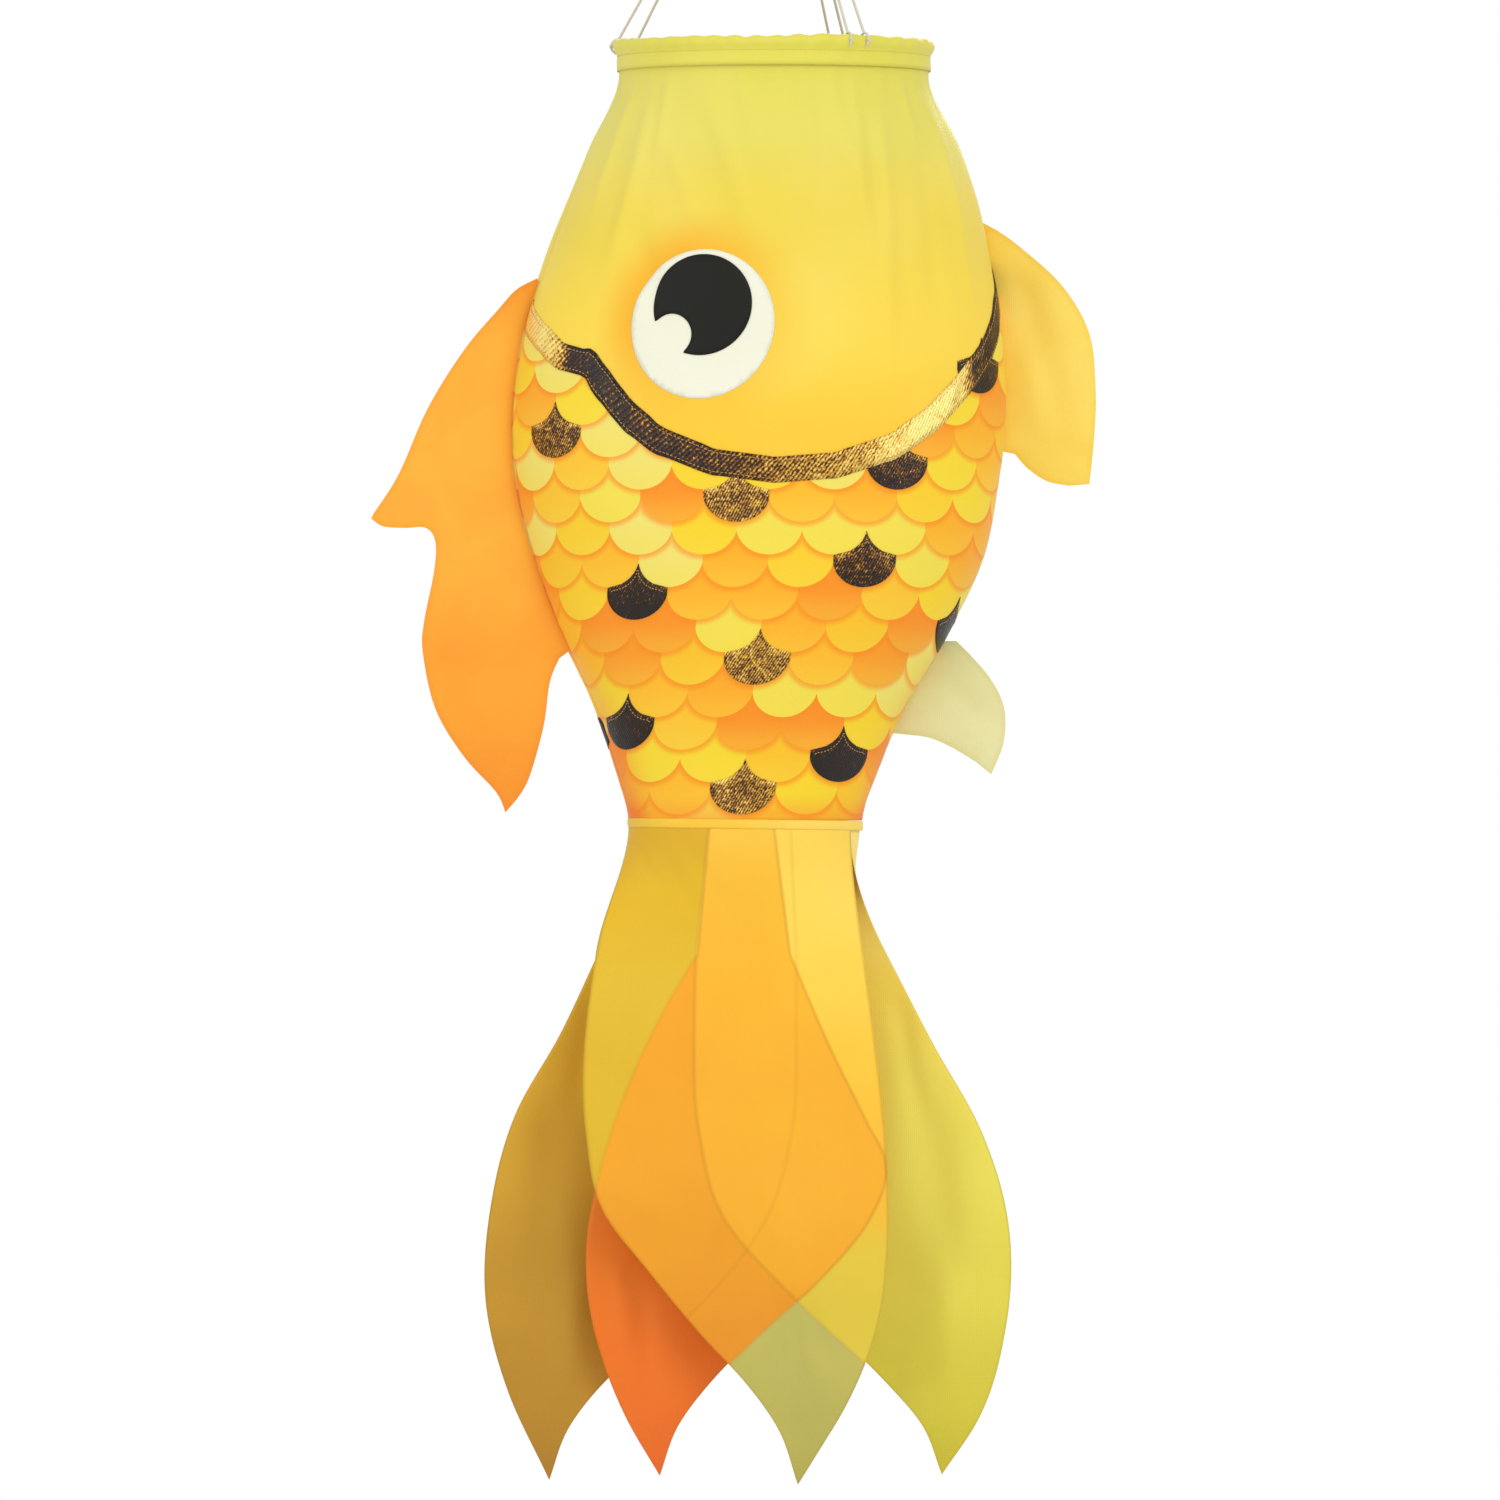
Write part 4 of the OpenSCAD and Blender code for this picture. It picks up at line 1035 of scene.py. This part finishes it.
turns = np.linspace(0, 2 * math.pi, BAND_COLUMNS, endpoint=False)
points, across, down = [], [], []
for drop in np.linspace(BAND_TOP, BAND_LOW, BAND_ROWS + 1):
    swell = 0.7 + 0.5 * math.sin(math.pi * (drop - BAND_TOP) / (BAND_LOW - BAND_TOP))
    swell = swell + 0.25 * ripple(turns * BAND_R, drop * 3, 71, (9, 40))
    points.append(wall(turns, drop + 1.0 * np.sin(turns + 1.2), swell))
    from_middle = turns - math.radians(NEAR_MIDDLE)
    across.append(((from_middle + math.pi) % (2 * math.pi) - math.pi) * BAND_R)
    down.append(np.full(BAND_COLUMNS, drop))
band = piece("tail_band_tape", np.concatenate(points),
             [f[::-1] for f in grid_faces(BAND_ROWS + 1, BAND_COLUMNS, closed=True)],
             woven("woven_polyester_tape", band_hue, thread=1.0))
lay_uv(band, np.concatenate(across), np.concatenate(down))
thicken(band, BAND_T)
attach(band, "sock")
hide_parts("tail_band")

# Fins: each is two layers of dyed polyester sewn together inside out, turned and pressed, so it
# is slightly full, with puckers along its edge. It is caught in a side seam.
FIN_FULL = 1.5
RIM_HALF = 0.25
RIM_CREASE = 50
FIN_SPACING = 4.5
FIN_STEPS = 6


def smooth(points, steps):
    """A smooth line through a list of points."""
    points = np.asarray(points, float)
    line = []
    for i in range(len(points) - 1):
        a, b, c = points[max(i - 1, 0)], points[i], points[i + 1]
        d = points[min(i + 2, len(points) - 1)]
        for t in np.arange(steps) / steps:
            line.append((2 * b + (c - a) * t + (2 * a - 5 * b + 4 * c - d) * t**2
                         + (3 * b - a - 3 * c + d) * t**3) / 2)
    line.append(points[-1])
    return np.array(line)


def root_edge(plane, way, start, end):
    """The sock's own edge in a fin's plane."""
    drop = np.linspace(start, end, 24)
    wide, deep, shift = (curve(drop, SOCK[:, 0], SOCK[:, k]) for k in (1, 2, 3))
    x = shift + way * (wide + CLOTH_OFF) * np.sqrt(1 - (plane / (deep + CLOTH_OFF)) ** 2)
    return np.stack([x, drop], axis=1)


def fin(name, outline, plane, folds, cloth, seed):
    """A closed, slightly full shape on an outline of places across and down."""
    flat, faces = filled(outline, FIN_SPACING)
    rim = np.linalg.norm(flat[:, None] - outline[None], axis=2).min(1) < 1e-3
    near, _ = edge_distance(flat, outline)
    near[rim] = 0
    x, drop = flat.T
    bend = (1.6 * ripple(x, drop, seed, (80, 110)) + ridges(x, drop, folds)) * ease(0, 30, near)
    bend = bend + 0.7 * np.exp(-near / 9) * ease(0, 2, near) * ripple(x, drop, seed + 1, (13, 15))
    full = RIM_HALF + FIN_FULL * (1 - np.exp(-near / 7))
    layers = [np.stack([x, plane + bend + sign * full, -HANG - drop], axis=1)
              for sign in (-1, 1)]
    count = len(flat)
    sides = {(a, b) for f in faces for a, b in zip(f, f[1:] + f[:1])}
    walls = [(b, a, count + a, count + b) for a, b in sides if (b, a) not in sides]
    back = [tuple(count + v for v in f[::-1]) for f in faces]
    made = piece(name, np.vstack(layers), list(faces) + back + walls, cloth)
    lay_uv(made, np.tile(x, 2), np.tile(drop, 2))
    note(made, "edge", np.tile(near, 2))
    weld(made)
    made.data.set_sharp_from_angle(angle=math.radians(RIM_CREASE))
    return made


def fin_hue(stops):
    """Dye that changes down the fin, a little deeper along its sewn edge. Each stop is a drop,
    the dye there and the deeper dye of its clouds and edge."""
    def hue(tree, uv):
        down = add(tree, "ShaderNodeSeparateXYZ", {0: uv})[1]
        first, last = stops[0][0], stops[-1][0]
        share = add(tree, "ShaderNodeMapRange", {"Value": down, 1: first * MM, 2: last * MM})[0]
        span = last - first
        shade = gradient(tree, share, [((d - first) / span, c) for d, c, _ in stops])
        deep = gradient(tree, share, [((d - first) / span, c) for d, _, c in stops])
        cloud = add(tree, "ShaderNodeTexNoise", {"Vector": uv, "Scale": 22.0, "Detail": 2.0,
                                                 "Distortion": 0.6})[0]
        shade = blend_colours(tree, add(tree, "ShaderNodeMapRange", {"Value": cloud, 1: 0.4,
                                                                      2: 0.75, 4: 0.5})[0],
                              shade, deep)
        edge = add(tree, "ShaderNodeAttribute", attribute_name="edge")["Fac"]
        rim_part = add(tree, "ShaderNodeMapRange", {"Value": edge, 1: 0.0, 2: 4.0, 3: 0.6,
                                                    4: 0.0})[0]
        return blend_colours(tree, rim_part, shade, deep)
    return hue


# Each outline runs round the fin and back up along the sock, as places across and drops.
DORSAL = np.vstack([
    smooth([(-149, 150), (-162, 157), (-173, 169), (-195, 195), (-218, 232), (-236, 273),
            (-252, 298)], FIN_STEPS),
    smooth([(-253.5, 301), (-246, 306), (-232, 307), (-219, 307), (-213, 316), (-214, 335),
            (-220, 365), (-221, 385), (-213, 421), (-195, 451), (-175, 473), (-169, 486)],
           FIN_STEPS),
    smooth([(-162, 478), (-154, 464), (-145, 432), (-141, 404), (-135, 389)], FIN_STEPS),
    root_edge(-12.5, -1, 384, 152)])
BREAST = np.vstack([
    smooth([(141, 119), (156, 130), (182, 154), (199, 184), (203, 220), (202, 250),
            (199, 279)], FIN_STEPS),
    smooth([(186, 280), (172, 277), (160, 269), (152, 260)], FIN_STEPS),
    root_edge(12.5, 1, 258, 113)])
ANAL = np.vstack([
    smooth([(115, 378), (124, 387), (136, 401), (144, 416), (146, 430), (144, 445),
            (137, 462)], FIN_STEPS),
    smooth([(127, 454), (112, 445), (98, 439), (84, 437)], FIN_STEPS),
    root_edge(9, 1, 436, 378)])
dorsal_cloth = woven("woven_polyester_orange", fin_hue(
    [(150, "F6A02C", "EE8C20"), (200, "FDB43A", "F8A02E"), (300, "FDB53B", "FAA22E"),
     (400, "FBA630", "F6962A"), (486, "F8982A", "F08A26")]))
breast_cloth = woven("woven_polyester_yellow", fin_hue(
    [(115, "FBD858", "F3C23C"), (200, "FCDF68", "F8CF48"), (280, "FADB5C", "F3CB48")]))
anal_cloth = woven("woven_polyester_cream", fin_hue(
    [(375, "E3DD9C", "D6CF88"), (420, "E7E2A6", "DCD590"), (465, "E6E2A8", "DAD38E")]))
# Each fin's outline, plane, fold line (a place, a drop and its lean), way out from the sock,
# body, slot, cloth, flat size, area and soft folds.
FINS = [
    ("dorsal_fin_cloth", DORSAL, -12.5, (-168, 250, 0.12), 1, "dorsal", "orange_cloth",
     dorsal_cloth, (0.12, 0.34), 0.0188,
     [(-180, 175, -226, 290, 2.6, 12), (-160, 190, -176, 300, -2.4, 8),
      (-160, 330, -200, 440, 2.4, 12), (-176, 270, -156, 380, 2.0, 8),
      (-200, 300, -186, 420, -1.8, 10)]),
    ("breast_fin_cloth", BREAST, 12.5, (147, 220, 0.06), -1, "breast", "yellow_cloth",
     breast_cloth, (0.08, 0.165), 0.00756,
     [(150, 140, 190, 260, 2.2, 9), (150, 180, 172, 260, -1.8, 8)]),
    ("anal_fin_cloth", ANAL, 9, (114, 376, -0.6), -1, "anal", "cream_cloth",
     anal_cloth, (0.065, 0.085), 0.0033, [(110, 395, 138, 440, 1.8, 7)])]
for seed, (name, outline, plane, fold, way, word, slot, cloth, flat, area, folds) in enumerate(
        FINS, 81):
    made = fin(name, outline, plane, folds, cloth, seed)
    middle = np.array([fold[0], plane, -HANG - fold[1]], float)
    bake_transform(made)
    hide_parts(f"{word}_fin", f"{word}_fin_root")

# Tail petals: four long pointed pieces of sheer polyester with narrow rolled edges, gathered into
# the tail seam in layers. The front one takes the colour of whatever petal lies behind it and is
# a plain sage only near its tip; the others are orange, lime and old gold.
PETAL_TOP = 493
BEND = 575
TIP = 908
PETAL_COLUMNS = 64
PETAL_ROWS = 190
TOP_ROWS = 40
PETAL_T = 0.3
HIDDEN_TOP = 5
SLOPE_GAP = 4
ZONE_REACH = 12
# Each petal's top corners as degrees round the sock, its depth below the bend, how far its top
# stands off the sock, its cut size, and its tip and two edges as places across and drops.
PETALS = {
    "left": dict(
        angles=(179, 75), layer=26.5, off=0.5, flat=(0.2, 0.42), area=0.0507, tip=(-142, 908),
        left=[(-111, BEND), (-135, 626), (-163, 676), (-179, 735), (-182, 796), (-168, 852)],
        right=[(14, BEND), (14, 616), (11, 687), (-6, 743), (-57, 805), (-103, 842),
               (-129, 874)]),
    "right": dict(
        angles=(105, -25), layer=14.5, off=-0.9, flat=(0.2, 0.42), area=0.0505, tip=(106, 904),
        left=[(-49, BEND), (-50, 616), (-47, 687), (-30, 743), (13, 791), (69, 844), (93, 872)],
        right=[(71, BEND), (101, 633), (130, 685), (147, 739), (146, 813), (128, 871)]),
    "inner": dict(
        angles=(105, 75), layer=2.5, off=-2.3, flat=(0.19, 0.415), area=0.0408, tip=(-72, 904),
        left=[(-48, BEND), (-60, 594), (-87, 647), (-108, 706), (-118, 755), (-116, 800),
              (-110, 825), (-93, 868)],
        right=[(10, BEND), (33, 629), (58, 680), (70, 705), (59, 743), (29, 779), (-11, 816),
               (-37, 842), (-60, 872)]),
    "front": dict(
        angles=(181, 334), layer=-30.5, off=0.5, flat=(0.195, 0.417), area=0.0576,
        tip=(15, 908),
        left=[(-112, BEND), (-118, 620), (-120, 650), (-118, 690), (-107, 737), (-79, 774),
              (-45, 815), (-18, 844), (2, 872)],
        right=[(56, BEND), (64, 636), (70, 694), (71, 766), (67, 800), (47, 855), (25, 892)])}
# Soft folds: two ends, each a place across and a drop, then the fold's height and width.
PETAL_FOLDS = {
    "front": [(-20, 590, -60, 720, 3.0, 14), (30, 600, 45, 740, 2.8, 14),
              (-10, 700, 20, 800, -2.6, 12), (-80, 640, -90, 740, 2.4, 12),
              (-95, 500, -62, 545, 1.2, 5), (-80, 500, -40, 560, 1.2, 6),
              (-60, 498, -20, 560, 1.0, 6), (14, 500, 20, 590, 1.4, 8),
              (8, 788, 24, 868, 1.6, 4), (20, 784, 38, 842, 1.6, 4), (0, 778, 8, 850, 1.4, 4),
              (-30, 740, -44, 806, 1.6, 7)],
    "inner": [(-60, 660, -80, 800, 2.2, 12), (-84, 780, -78, 880, 2.2, 7),
              (-100, 760, -92, 850, -1.6, 6)],
    "right": [(90, 640, 118, 800, 3.2, 13), (110, 760, 112, 880, -2.4, 10),
              (76, 590, 96, 700, 1.8, 7)],
    "left": [(-140, 650, -150, 800, 2.8, 13), (-120, 760, -138, 880, -2.2, 10),
             (-112, 590, -128, 690, 1.6, 7)]}


def petal_sides(petal):
    """A petal's two edges as places across and drops, each down to its tip."""
    return [np.array(list(petal[side]) + [petal["tip"]], float) for side in ("left", "right")]


def petal_outline(petal, top):
    """A petal's seen outline, with its two corners at the tail band."""
    left, right = petal_sides(petal)
    rows = np.linspace(BEND, TIP, 160)
    down = np.stack([curve(rows, right[:, 1], right[:, 0]), rows], axis=1)
    up = np.stack([curve(rows, left[:, 1], left[:, 0]), rows], axis=1)[::-1]
    corners = [(across, PETAL_TOP - HIDDEN_TOP) for across in top]
    return np.vstack([corners, down, up])


def petal_hue(stops, zones=()):
    """Sheer dye that changes down the petal. A zone is an area of the petal that shows another
    petal through it, with its own run of colours."""
    def run(tree, uv, colours):
        down = add(tree, "ShaderNodeSeparateXYZ", {0: uv})[1]
        share = add(tree, "ShaderNodeMapRange", {"Value": down, 1: PETAL_TOP * MM,
                                                 2: TIP * MM})[0]
        return gradient(tree, share, [((d - PETAL_TOP) / (TIP - PETAL_TOP), c)
                                      for d, c in colours])

    def hue(tree, uv):
        shade = run(tree, uv, stops)
        lines = []
        for name, colours in zones:
            inside = add(tree, "ShaderNodeAttribute", attribute_name=name)["Fac"]
            cover = add(tree, "ShaderNodeMapRange", {"Value": inside, 1: -0.8, 2: 0.8})[0]
            shade = blend_colours(tree, cover, shade, run(tree, uv, colours))
            away = add(tree, "ShaderNodeMath", {0: inside}, operation="ABSOLUTE")[0]
            lines.append(add(tree, "ShaderNodeMapRange", {"Value": away, 1: 0.4, 2: 1.8, 3: 0.12,
                                                          4: 0.0})[0])
        for line in lines:
            shade = blend_colours(tree, line, shade, linear("A8701A"))
        # Lighter clouds: a painted glow of light coming through the sheer cloth.
        cloud = add(tree, "ShaderNodeTexNoise", {"Vector": uv, "Scale": 14.0, "Detail": 2.0,
                                                 "Distortion": 0.7})[0]
        painted_glow = add(tree, "ShaderNodeMapRange", {"Value": cloud, 1: 0.45, 2: 0.8, 4: 0.3})[0]
        shade = blend_colours(tree, painted_glow, shade, blend_colours(tree, 0.5, shade,
                                                               linear("FFF0B0"), "SOFT_LIGHT"))
        edge = add(tree, "ShaderNodeAttribute", attribute_name="edge")["Fac"]
        rolled = add(tree, "ShaderNodeMapRange", {"Value": edge, 1: 0.6, 2: 2.0, 3: 0.14,
                                                  4: 0.0})[0]
        return blend_colours(tree, rolled, shade, linear("A87422"))
    return hue


PETAL_CLOTH = {
    "left": woven("sheer_polyester_old_gold", petal_hue(
        [(493, "E4BA30"), (575, "E8BC34"), (640, "E6B634"), (700, "D6A632"), (780, "C4942E"),
         (850, "BA8A2C"), (908, "AE7E2A")])),
    "right": woven("sheer_polyester_lime", petal_hue(
        [(493, "FFE480"), (560, "FFE36C"), (600, "FBE05A"), (650, "F3E35E"), (700, "EEE25C"),
         (780, "E5D852"), (850, "D6CA44"), (908, "C8BA34")])),
    "inner": woven("sheer_polyester_orange", petal_hue(
        [(493, "F39A26"), (700, "F08A24"), (770, "F17F23"), (830, "F07722"), (908, "E66A24")]),
        sheen=0.25),
    "front": woven("sheer_polyester_front", petal_hue(
        [(493, "CFC060"), (760, "C4BC62"), (820, "BFB75E"), (870, "B9B15A"), (908, "B0A850")],
        [("over_left", [(493, "DFB02A"), (540, "E6BA28"), (600, "E6BE33"), (660, "E2B92E"),
                        (720, "DDB42C"), (800, "D8AC2C")]),
         ("over_right", [(493, "FDD556"), (540, "FFD95A"), (600, "FED24E"), (640, "FDCB40"),
                         (690, "FCC23A"), (730, "F6BE38"), (765, "E5C640"), (800, "DEC440"),
                         (850, "E0C648")]),
         ("over_inner", [(493, "F3B22E"), (575, "F8A92A"), (640, "F6A828"), (700, "F3A629"),
                         (760, "ED9F25"), (820, "E89526")]),
         ("over_two", [(493, "FCC744"), (540, "FBBF36"), (600, "FBB930"), (660, "F8B32E"),
                       (720, "F7B22E"), (770, "F3AC2B"), (815, "EC9C25")])]))}
# Where each rear petal's two top corners lie across, as seen from the near side.
TOPS = {"left": (-95, 10), "right": (-40, 80), "inner": (-40, -1)}
SEEN = {word: petal_outline(PETALS[word], TOPS[word]) for word in TOPS}
for seed, (word, petal) in enumerate(PETALS.items(), 91):
    left, right = petal_sides(petal)
    quarter = np.linspace(0, math.pi / 2, PETAL_ROWS - TOP_ROWS + 1)
    rows = np.concatenate([np.linspace(PETAL_TOP, BEND, TOP_ROWS, endpoint=False),
                           BEND + (TIP - BEND) * np.sin(quarter)])
    s = np.linspace(0, 1, PETAL_COLUMNS + 1)
    points, edges = [], []
    lowest = petal["tip"][1]
    step = [curve(BEND + SLOPE_GAP, side[:, 1], side[:, 0]) - side[0, 0]
            for side in (left, right)]
    slope = (step[0] + (step[1] - step[0]) * s) / SLOPE_GAP * (BEND - PETAL_TOP)
    first, last = petal["angles"]
    top = wall(np.radians(first + (last - first) * s), PETAL_TOP, petal["off"])
    for drop in np.minimum(rows, lowest):
        below = max(drop, BEND)
        ends = [curve(below, side[:, 1], side[:, 0]) for side in (left, right)]
        x = ends[0] + (ends[1] - ends[0]) * s
        y = np.full(len(s), petal["layer"], float)
        t = ease(PETAL_TOP, BEND, drop)
        if drop < BEND:
            fall = (drop - PETAL_TOP) / (BEND - PETAL_TOP)
            x = top[:, 0] * (1 - t) + x * t + slope * (fall**3 - fall**2)
            y = top[:, 1] * (1 - t) + y * t
        near = np.minimum(s, 1 - s) * (x.max() - x.min())
        level = np.full(len(s), drop)
        sway = 3.0 * ease(540, 760, drop) * ripple(x, level, seed, (85, 260))
        sway = sway + ridges(x, level, PETAL_FOLDS[word])
        pucker = 0.5 * ease(560, PETAL_TOP + 4, drop) * ripple(x + 0.6 * drop, level, seed + 10,
                                                               (10, 40))
        pucker = pucker * ease(PETAL_TOP, PETAL_TOP + 12, drop)
        curl = 1.2 * np.exp(-near / 9) * ease(600, 760, drop) * math.sin(drop / 31 + seed)
        points.append(np.stack([x, y + sway + pucker + curl, -HANG - level], axis=1))
        edges.append(near)
    grid = np.concatenate(points)
    faces = grid_faces(len(rows), PETAL_COLUMNS + 1)
    made = piece(f"{word}_petal_cloth", grid, faces if word == "front"
                 else [f[::-1] for f in faces], PETAL_CLOTH[word])
    down = -HANG - grid[:, 2]
    lay_uv(made, grid[:, 0], down)
    note(made, "edge", np.concatenate(edges))
    if word == "front":
        flat = np.stack([grid[:, 0], down], axis=1)
        depth = {}
        for other, outline in SEEN.items():
            near, inside = edge_distance(flat, outline)
            depth[other] = np.clip(np.where(inside, near, -near), -ZONE_REACH, ZONE_REACH)
            note(made, f"over_{other}", depth[other])
        note(made, "over_two", np.minimum(depth["inner"], depth["right"]))
    thicken(made, PETAL_T)
    settle(made)
    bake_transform(made)
    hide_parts(f"{word}_petal", f"{word}_petal_root")

# Stitching: lockstitch in polyester thread. Each stitch is a short rounded bar laid along its
# seam line, a stitch length apart, with the small unevenness of a sewing machine's feed.
STITCH = 2.6
PATCH_STITCH = 2.2
THREAD = 0.5
THREAD_OFF = 0.3
LINE_IN = 0.84
LINE_DOWN = 1.6


def stitch_tree():
    """Geometry nodes that lay stitches along every line of a mesh."""
    group = bpy.data.node_groups.new("lay_stitches", "GeometryNodeTree")
    sockets = {"Lines": "Geometry", "Stitch Length": "Float", "Thread Width": "Float",
               "Seed": "Int", "Thread": "Material"}
    for name, kind in sockets.items():
        group.interface.new_socket(name, in_out="INPUT", socket_type=f"NodeSocket{kind}")
    group.interface.new_socket("Stitches", in_out="OUTPUT", socket_type="NodeSocketGeometry")
    given = add(group, "NodeGroupInput")
    lines = add(group, "GeometryNodeMeshToCurve", {"Mesh": given["Lines"]})[0]
    spaced = add(group, "GeometryNodeResampleCurve", {"Curve": lines,
                                                      "Length": given["Stitch Length"]},
                 mode="LENGTH")[0]
    heading = add(group, "GeometryNodeInputTangent")[0]
    turned = add(group, "FunctionNodeAlignRotationToVector", {"Vector": heading}, axis="Z")[0]
    uneven = add(group, "FunctionNodeRandomValue", {2: 0.3, 3: 0.42, "Seed": given["Seed"]},
                 data_type="FLOAT")[1]
    long = add(group, "ShaderNodeMath", {0: given["Stitch Length"], 1: uneven},
               operation="MULTIPLY")[0]
    thin = add(group, "ShaderNodeMath", {0: given["Thread Width"], 1: 0.5},
               operation="MULTIPLY")[0]
    size = add(group, "ShaderNodeCombineXYZ", {0: thin, 1: thin, 2: long})[0]
    bar = add(group, "GeometryNodeMeshUVSphere", {"Segments": 6, "Rings": 5, "Radius": 1.0})[0]
    laid = add(group, "GeometryNodeInstanceOnPoints", {"Points": spaced, "Instance": bar,
                                                       "Rotation": turned, "Scale": size})[0]
    real = add(group, "GeometryNodeRealizeInstances", {"Geometry": laid})[0]
    dyed = add(group, "GeometryNodeSetMaterial", {"Geometry": real,
                                                  "Material": given["Thread"]})[0]
    add(group, "NodeGroupOutput", {"Stitches": dyed})
    return group


LAY_STITCHES = stitch_tree()


def thread_material(name, light, dark):
    """Twisted polyester thread: a dull sheen with slanting plies, drawn at 0.3 mm."""
    material, tree = new_material(name)
    place = add(tree, "ShaderNodeTexCoord")["Object"]
    plies = add(tree, "ShaderNodeTexWave", {"Vector": place, "Scale": BAND_GAP / (0.3 * MM)},
                bands_direction="DIAGONAL")[0]
    bump = add(tree, "ShaderNodeBump", {"Height": plies, "Strength": 0.3,
                                        "Distance": 0.0001})[0]
    finish_material(tree, {"Base Color": blend_colours(tree, plies, linear(light),
                                                       linear(dark)),
                           "Roughness": 0.5, "Sheen Weight": 0.3, "Normal": bump})
    return material


def stitches(name, lines, material, seed, length=STITCH, width=THREAD):
    """One mesh of stitches along several lines; a line closes where its ends are one point."""
    points, links = [], []
    for line in lines:
        start = len(points)
        points += [tuple(p) for p in np.asarray(line)]
        links += [(start + i, start + i + 1) for i in range(len(line) - 1)]
    mesh = bpy.data.meshes.new(name)
    mesh.from_pydata((np.array(points) * MM).tolist(), links, [])
    made = bpy.data.objects.new(name, mesh)
    bpy.context.scene.collection.objects.link(made)
    sewn = made.modifiers.new("stitches", "NODES")
    sewn.node_group = LAY_STITCHES
    values = {"Stitch Length": length * MM, "Thread Width": width * MM, "Seed": seed,
              "Thread": material}
    for item in LAY_STITCHES.interface.items_tree:
        if item.in_out == "INPUT" and item.name in values:
            sewn[item.identifier] = values[item.name]
    made.update_tag()
    settle(made)
    made.data.polygons.foreach_set("use_smooth", [True] * len(made.data.polygons))
    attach(made, "sock")
    return made


yellow_thread = thread_material("polyester_thread_yellow", "EBD64A", "CDB236")
gold_thread = thread_material("polyester_thread_gold", "E8B856", "B07A2C")
turns = np.linspace(0, 2 * math.pi, 400)
hem_row = [drop for _, drop in HEM_PROFILE].index(HEM_LINE)
radius = (MOUTH_D / 2 + HEM_PROFILE[hem_row][0] + THREAD_OFF
          + hem_wave(turns, hem_row, HEM_LINE))
stitches("hem_stitches", [np.stack([radius * np.cos(turns), radius * np.sin(turns),
                                    np.full(len(turns), -HANG - HEM_LINE)], axis=1)],
         yellow_thread, 1)
part = np.linspace(0.006, 0.994, 300)
for side, word in ((NEAR, "near"), (FAR, "far")):
    lines = []
    for share in (0.14, 0.86):
        drop = strip_edge(share, part)
        lines.append(on_side(part, look_up(part, drop, side, False), drop, side,
                             STRIP_OFF + THREAD_OFF))
    stitches(f"gill_stitches_{word}", lines, gold_thread, 2)
    lines = []
    for column, row, _ in FOIL_SCALES:
        middle, height = scale_place(column, row)
        y = np.linspace(PATCH_TOP, -1.5, 24)
        x = scale_half(y)
        loop_line = np.vstack([np.stack([x, y], axis=1)[::-1], np.stack([-x, y], axis=1)])
        loop_line = loop_line * LINE_IN + (0, LINE_DOWN)
        lines.append(on_cloth(middle + loop_line[:, 0], height + loop_line[:, 1], side,
                              PATCH_OFF + THREAD_OFF))
    stitches(f"foil_stitches_{word}", lines, gold_thread, 3, length=PATCH_STITCH)

# Studio: a plain pale floor well below the tail, an even white surround and three large soft
# lights, so that the cloth's own colours show and its folds stay gentle.
FLOOR_Z = -1.42
FLOOR_R = 1.4
FLOOR_SIDES = 96
SURROUND = 0.76
LAMP_AIM = Vector((-0.02, 0, -0.65))
turns = np.linspace(0, 2 * math.pi, FLOOR_SIDES, endpoint=False)
floor_paint, tree = new_material("matt_painted_floor")
place = add(tree, "ShaderNodeTexCoord")["Object"]
grain = add(tree, "ShaderNodeTexNoise", {"Vector": place, "Scale": 3.0, "Detail": 3.0})[0]
finish_material(tree, {"Base Color": blend_colours(tree, grain, linear("E9E8E5"),
                                                   linear("DEDDDA")), "Roughness": 0.8})
floor = piece("floor", [(FLOOR_R / MM * math.cos(t), FLOOR_R / MM * math.sin(t), FLOOR_Z / MM)
                        for t in turns], [tuple(range(FLOOR_SIDES))], floor_paint, smooth=False)
world = bpy.data.worlds.new("studio")
world.use_nodes = True
tree = world.node_tree
tree.nodes.clear()
seen_rays = add(tree, "ShaderNodeLightPath")["Is Camera Ray"]
level = add(tree, "ShaderNodeMapRange", {"Value": seen_rays, 3: SURROUND, 4: 1.0})[0]
sky = add(tree, "ShaderNodeBackground", {"Color": (1.0, 1.0, 1.0, 1.0), "Strength": level})[0]
add(tree, "ShaderNodeOutputWorld", {"Surface": sky})
bpy.context.scene.world = world
for name, place, size, power in (("key", (2.2, -3.8, 1.2), 2.8, 56),
                                 ("fill", (-3.4, -3.2, 0.2), 3.4, 38),
                                 ("rim", (0.5, 3.6, 1.2), 2.4, 50)):
    lamp = bpy.data.lights.new(name, "AREA")
    lamp.shape = "DISK"
    lamp.size = size
    lamp.energy = power
    lamp_object = bpy.data.objects.new(name, lamp)
    lamp_object.location = place
    aim = LAMP_AIM - Vector(place)
    lamp_object.rotation_euler = aim.to_track_quat("-Z", "Y").to_euler()
    bpy.context.scene.collection.objects.link(lamp_object)
bpy.context.scene.view_settings.view_transform = "Standard"
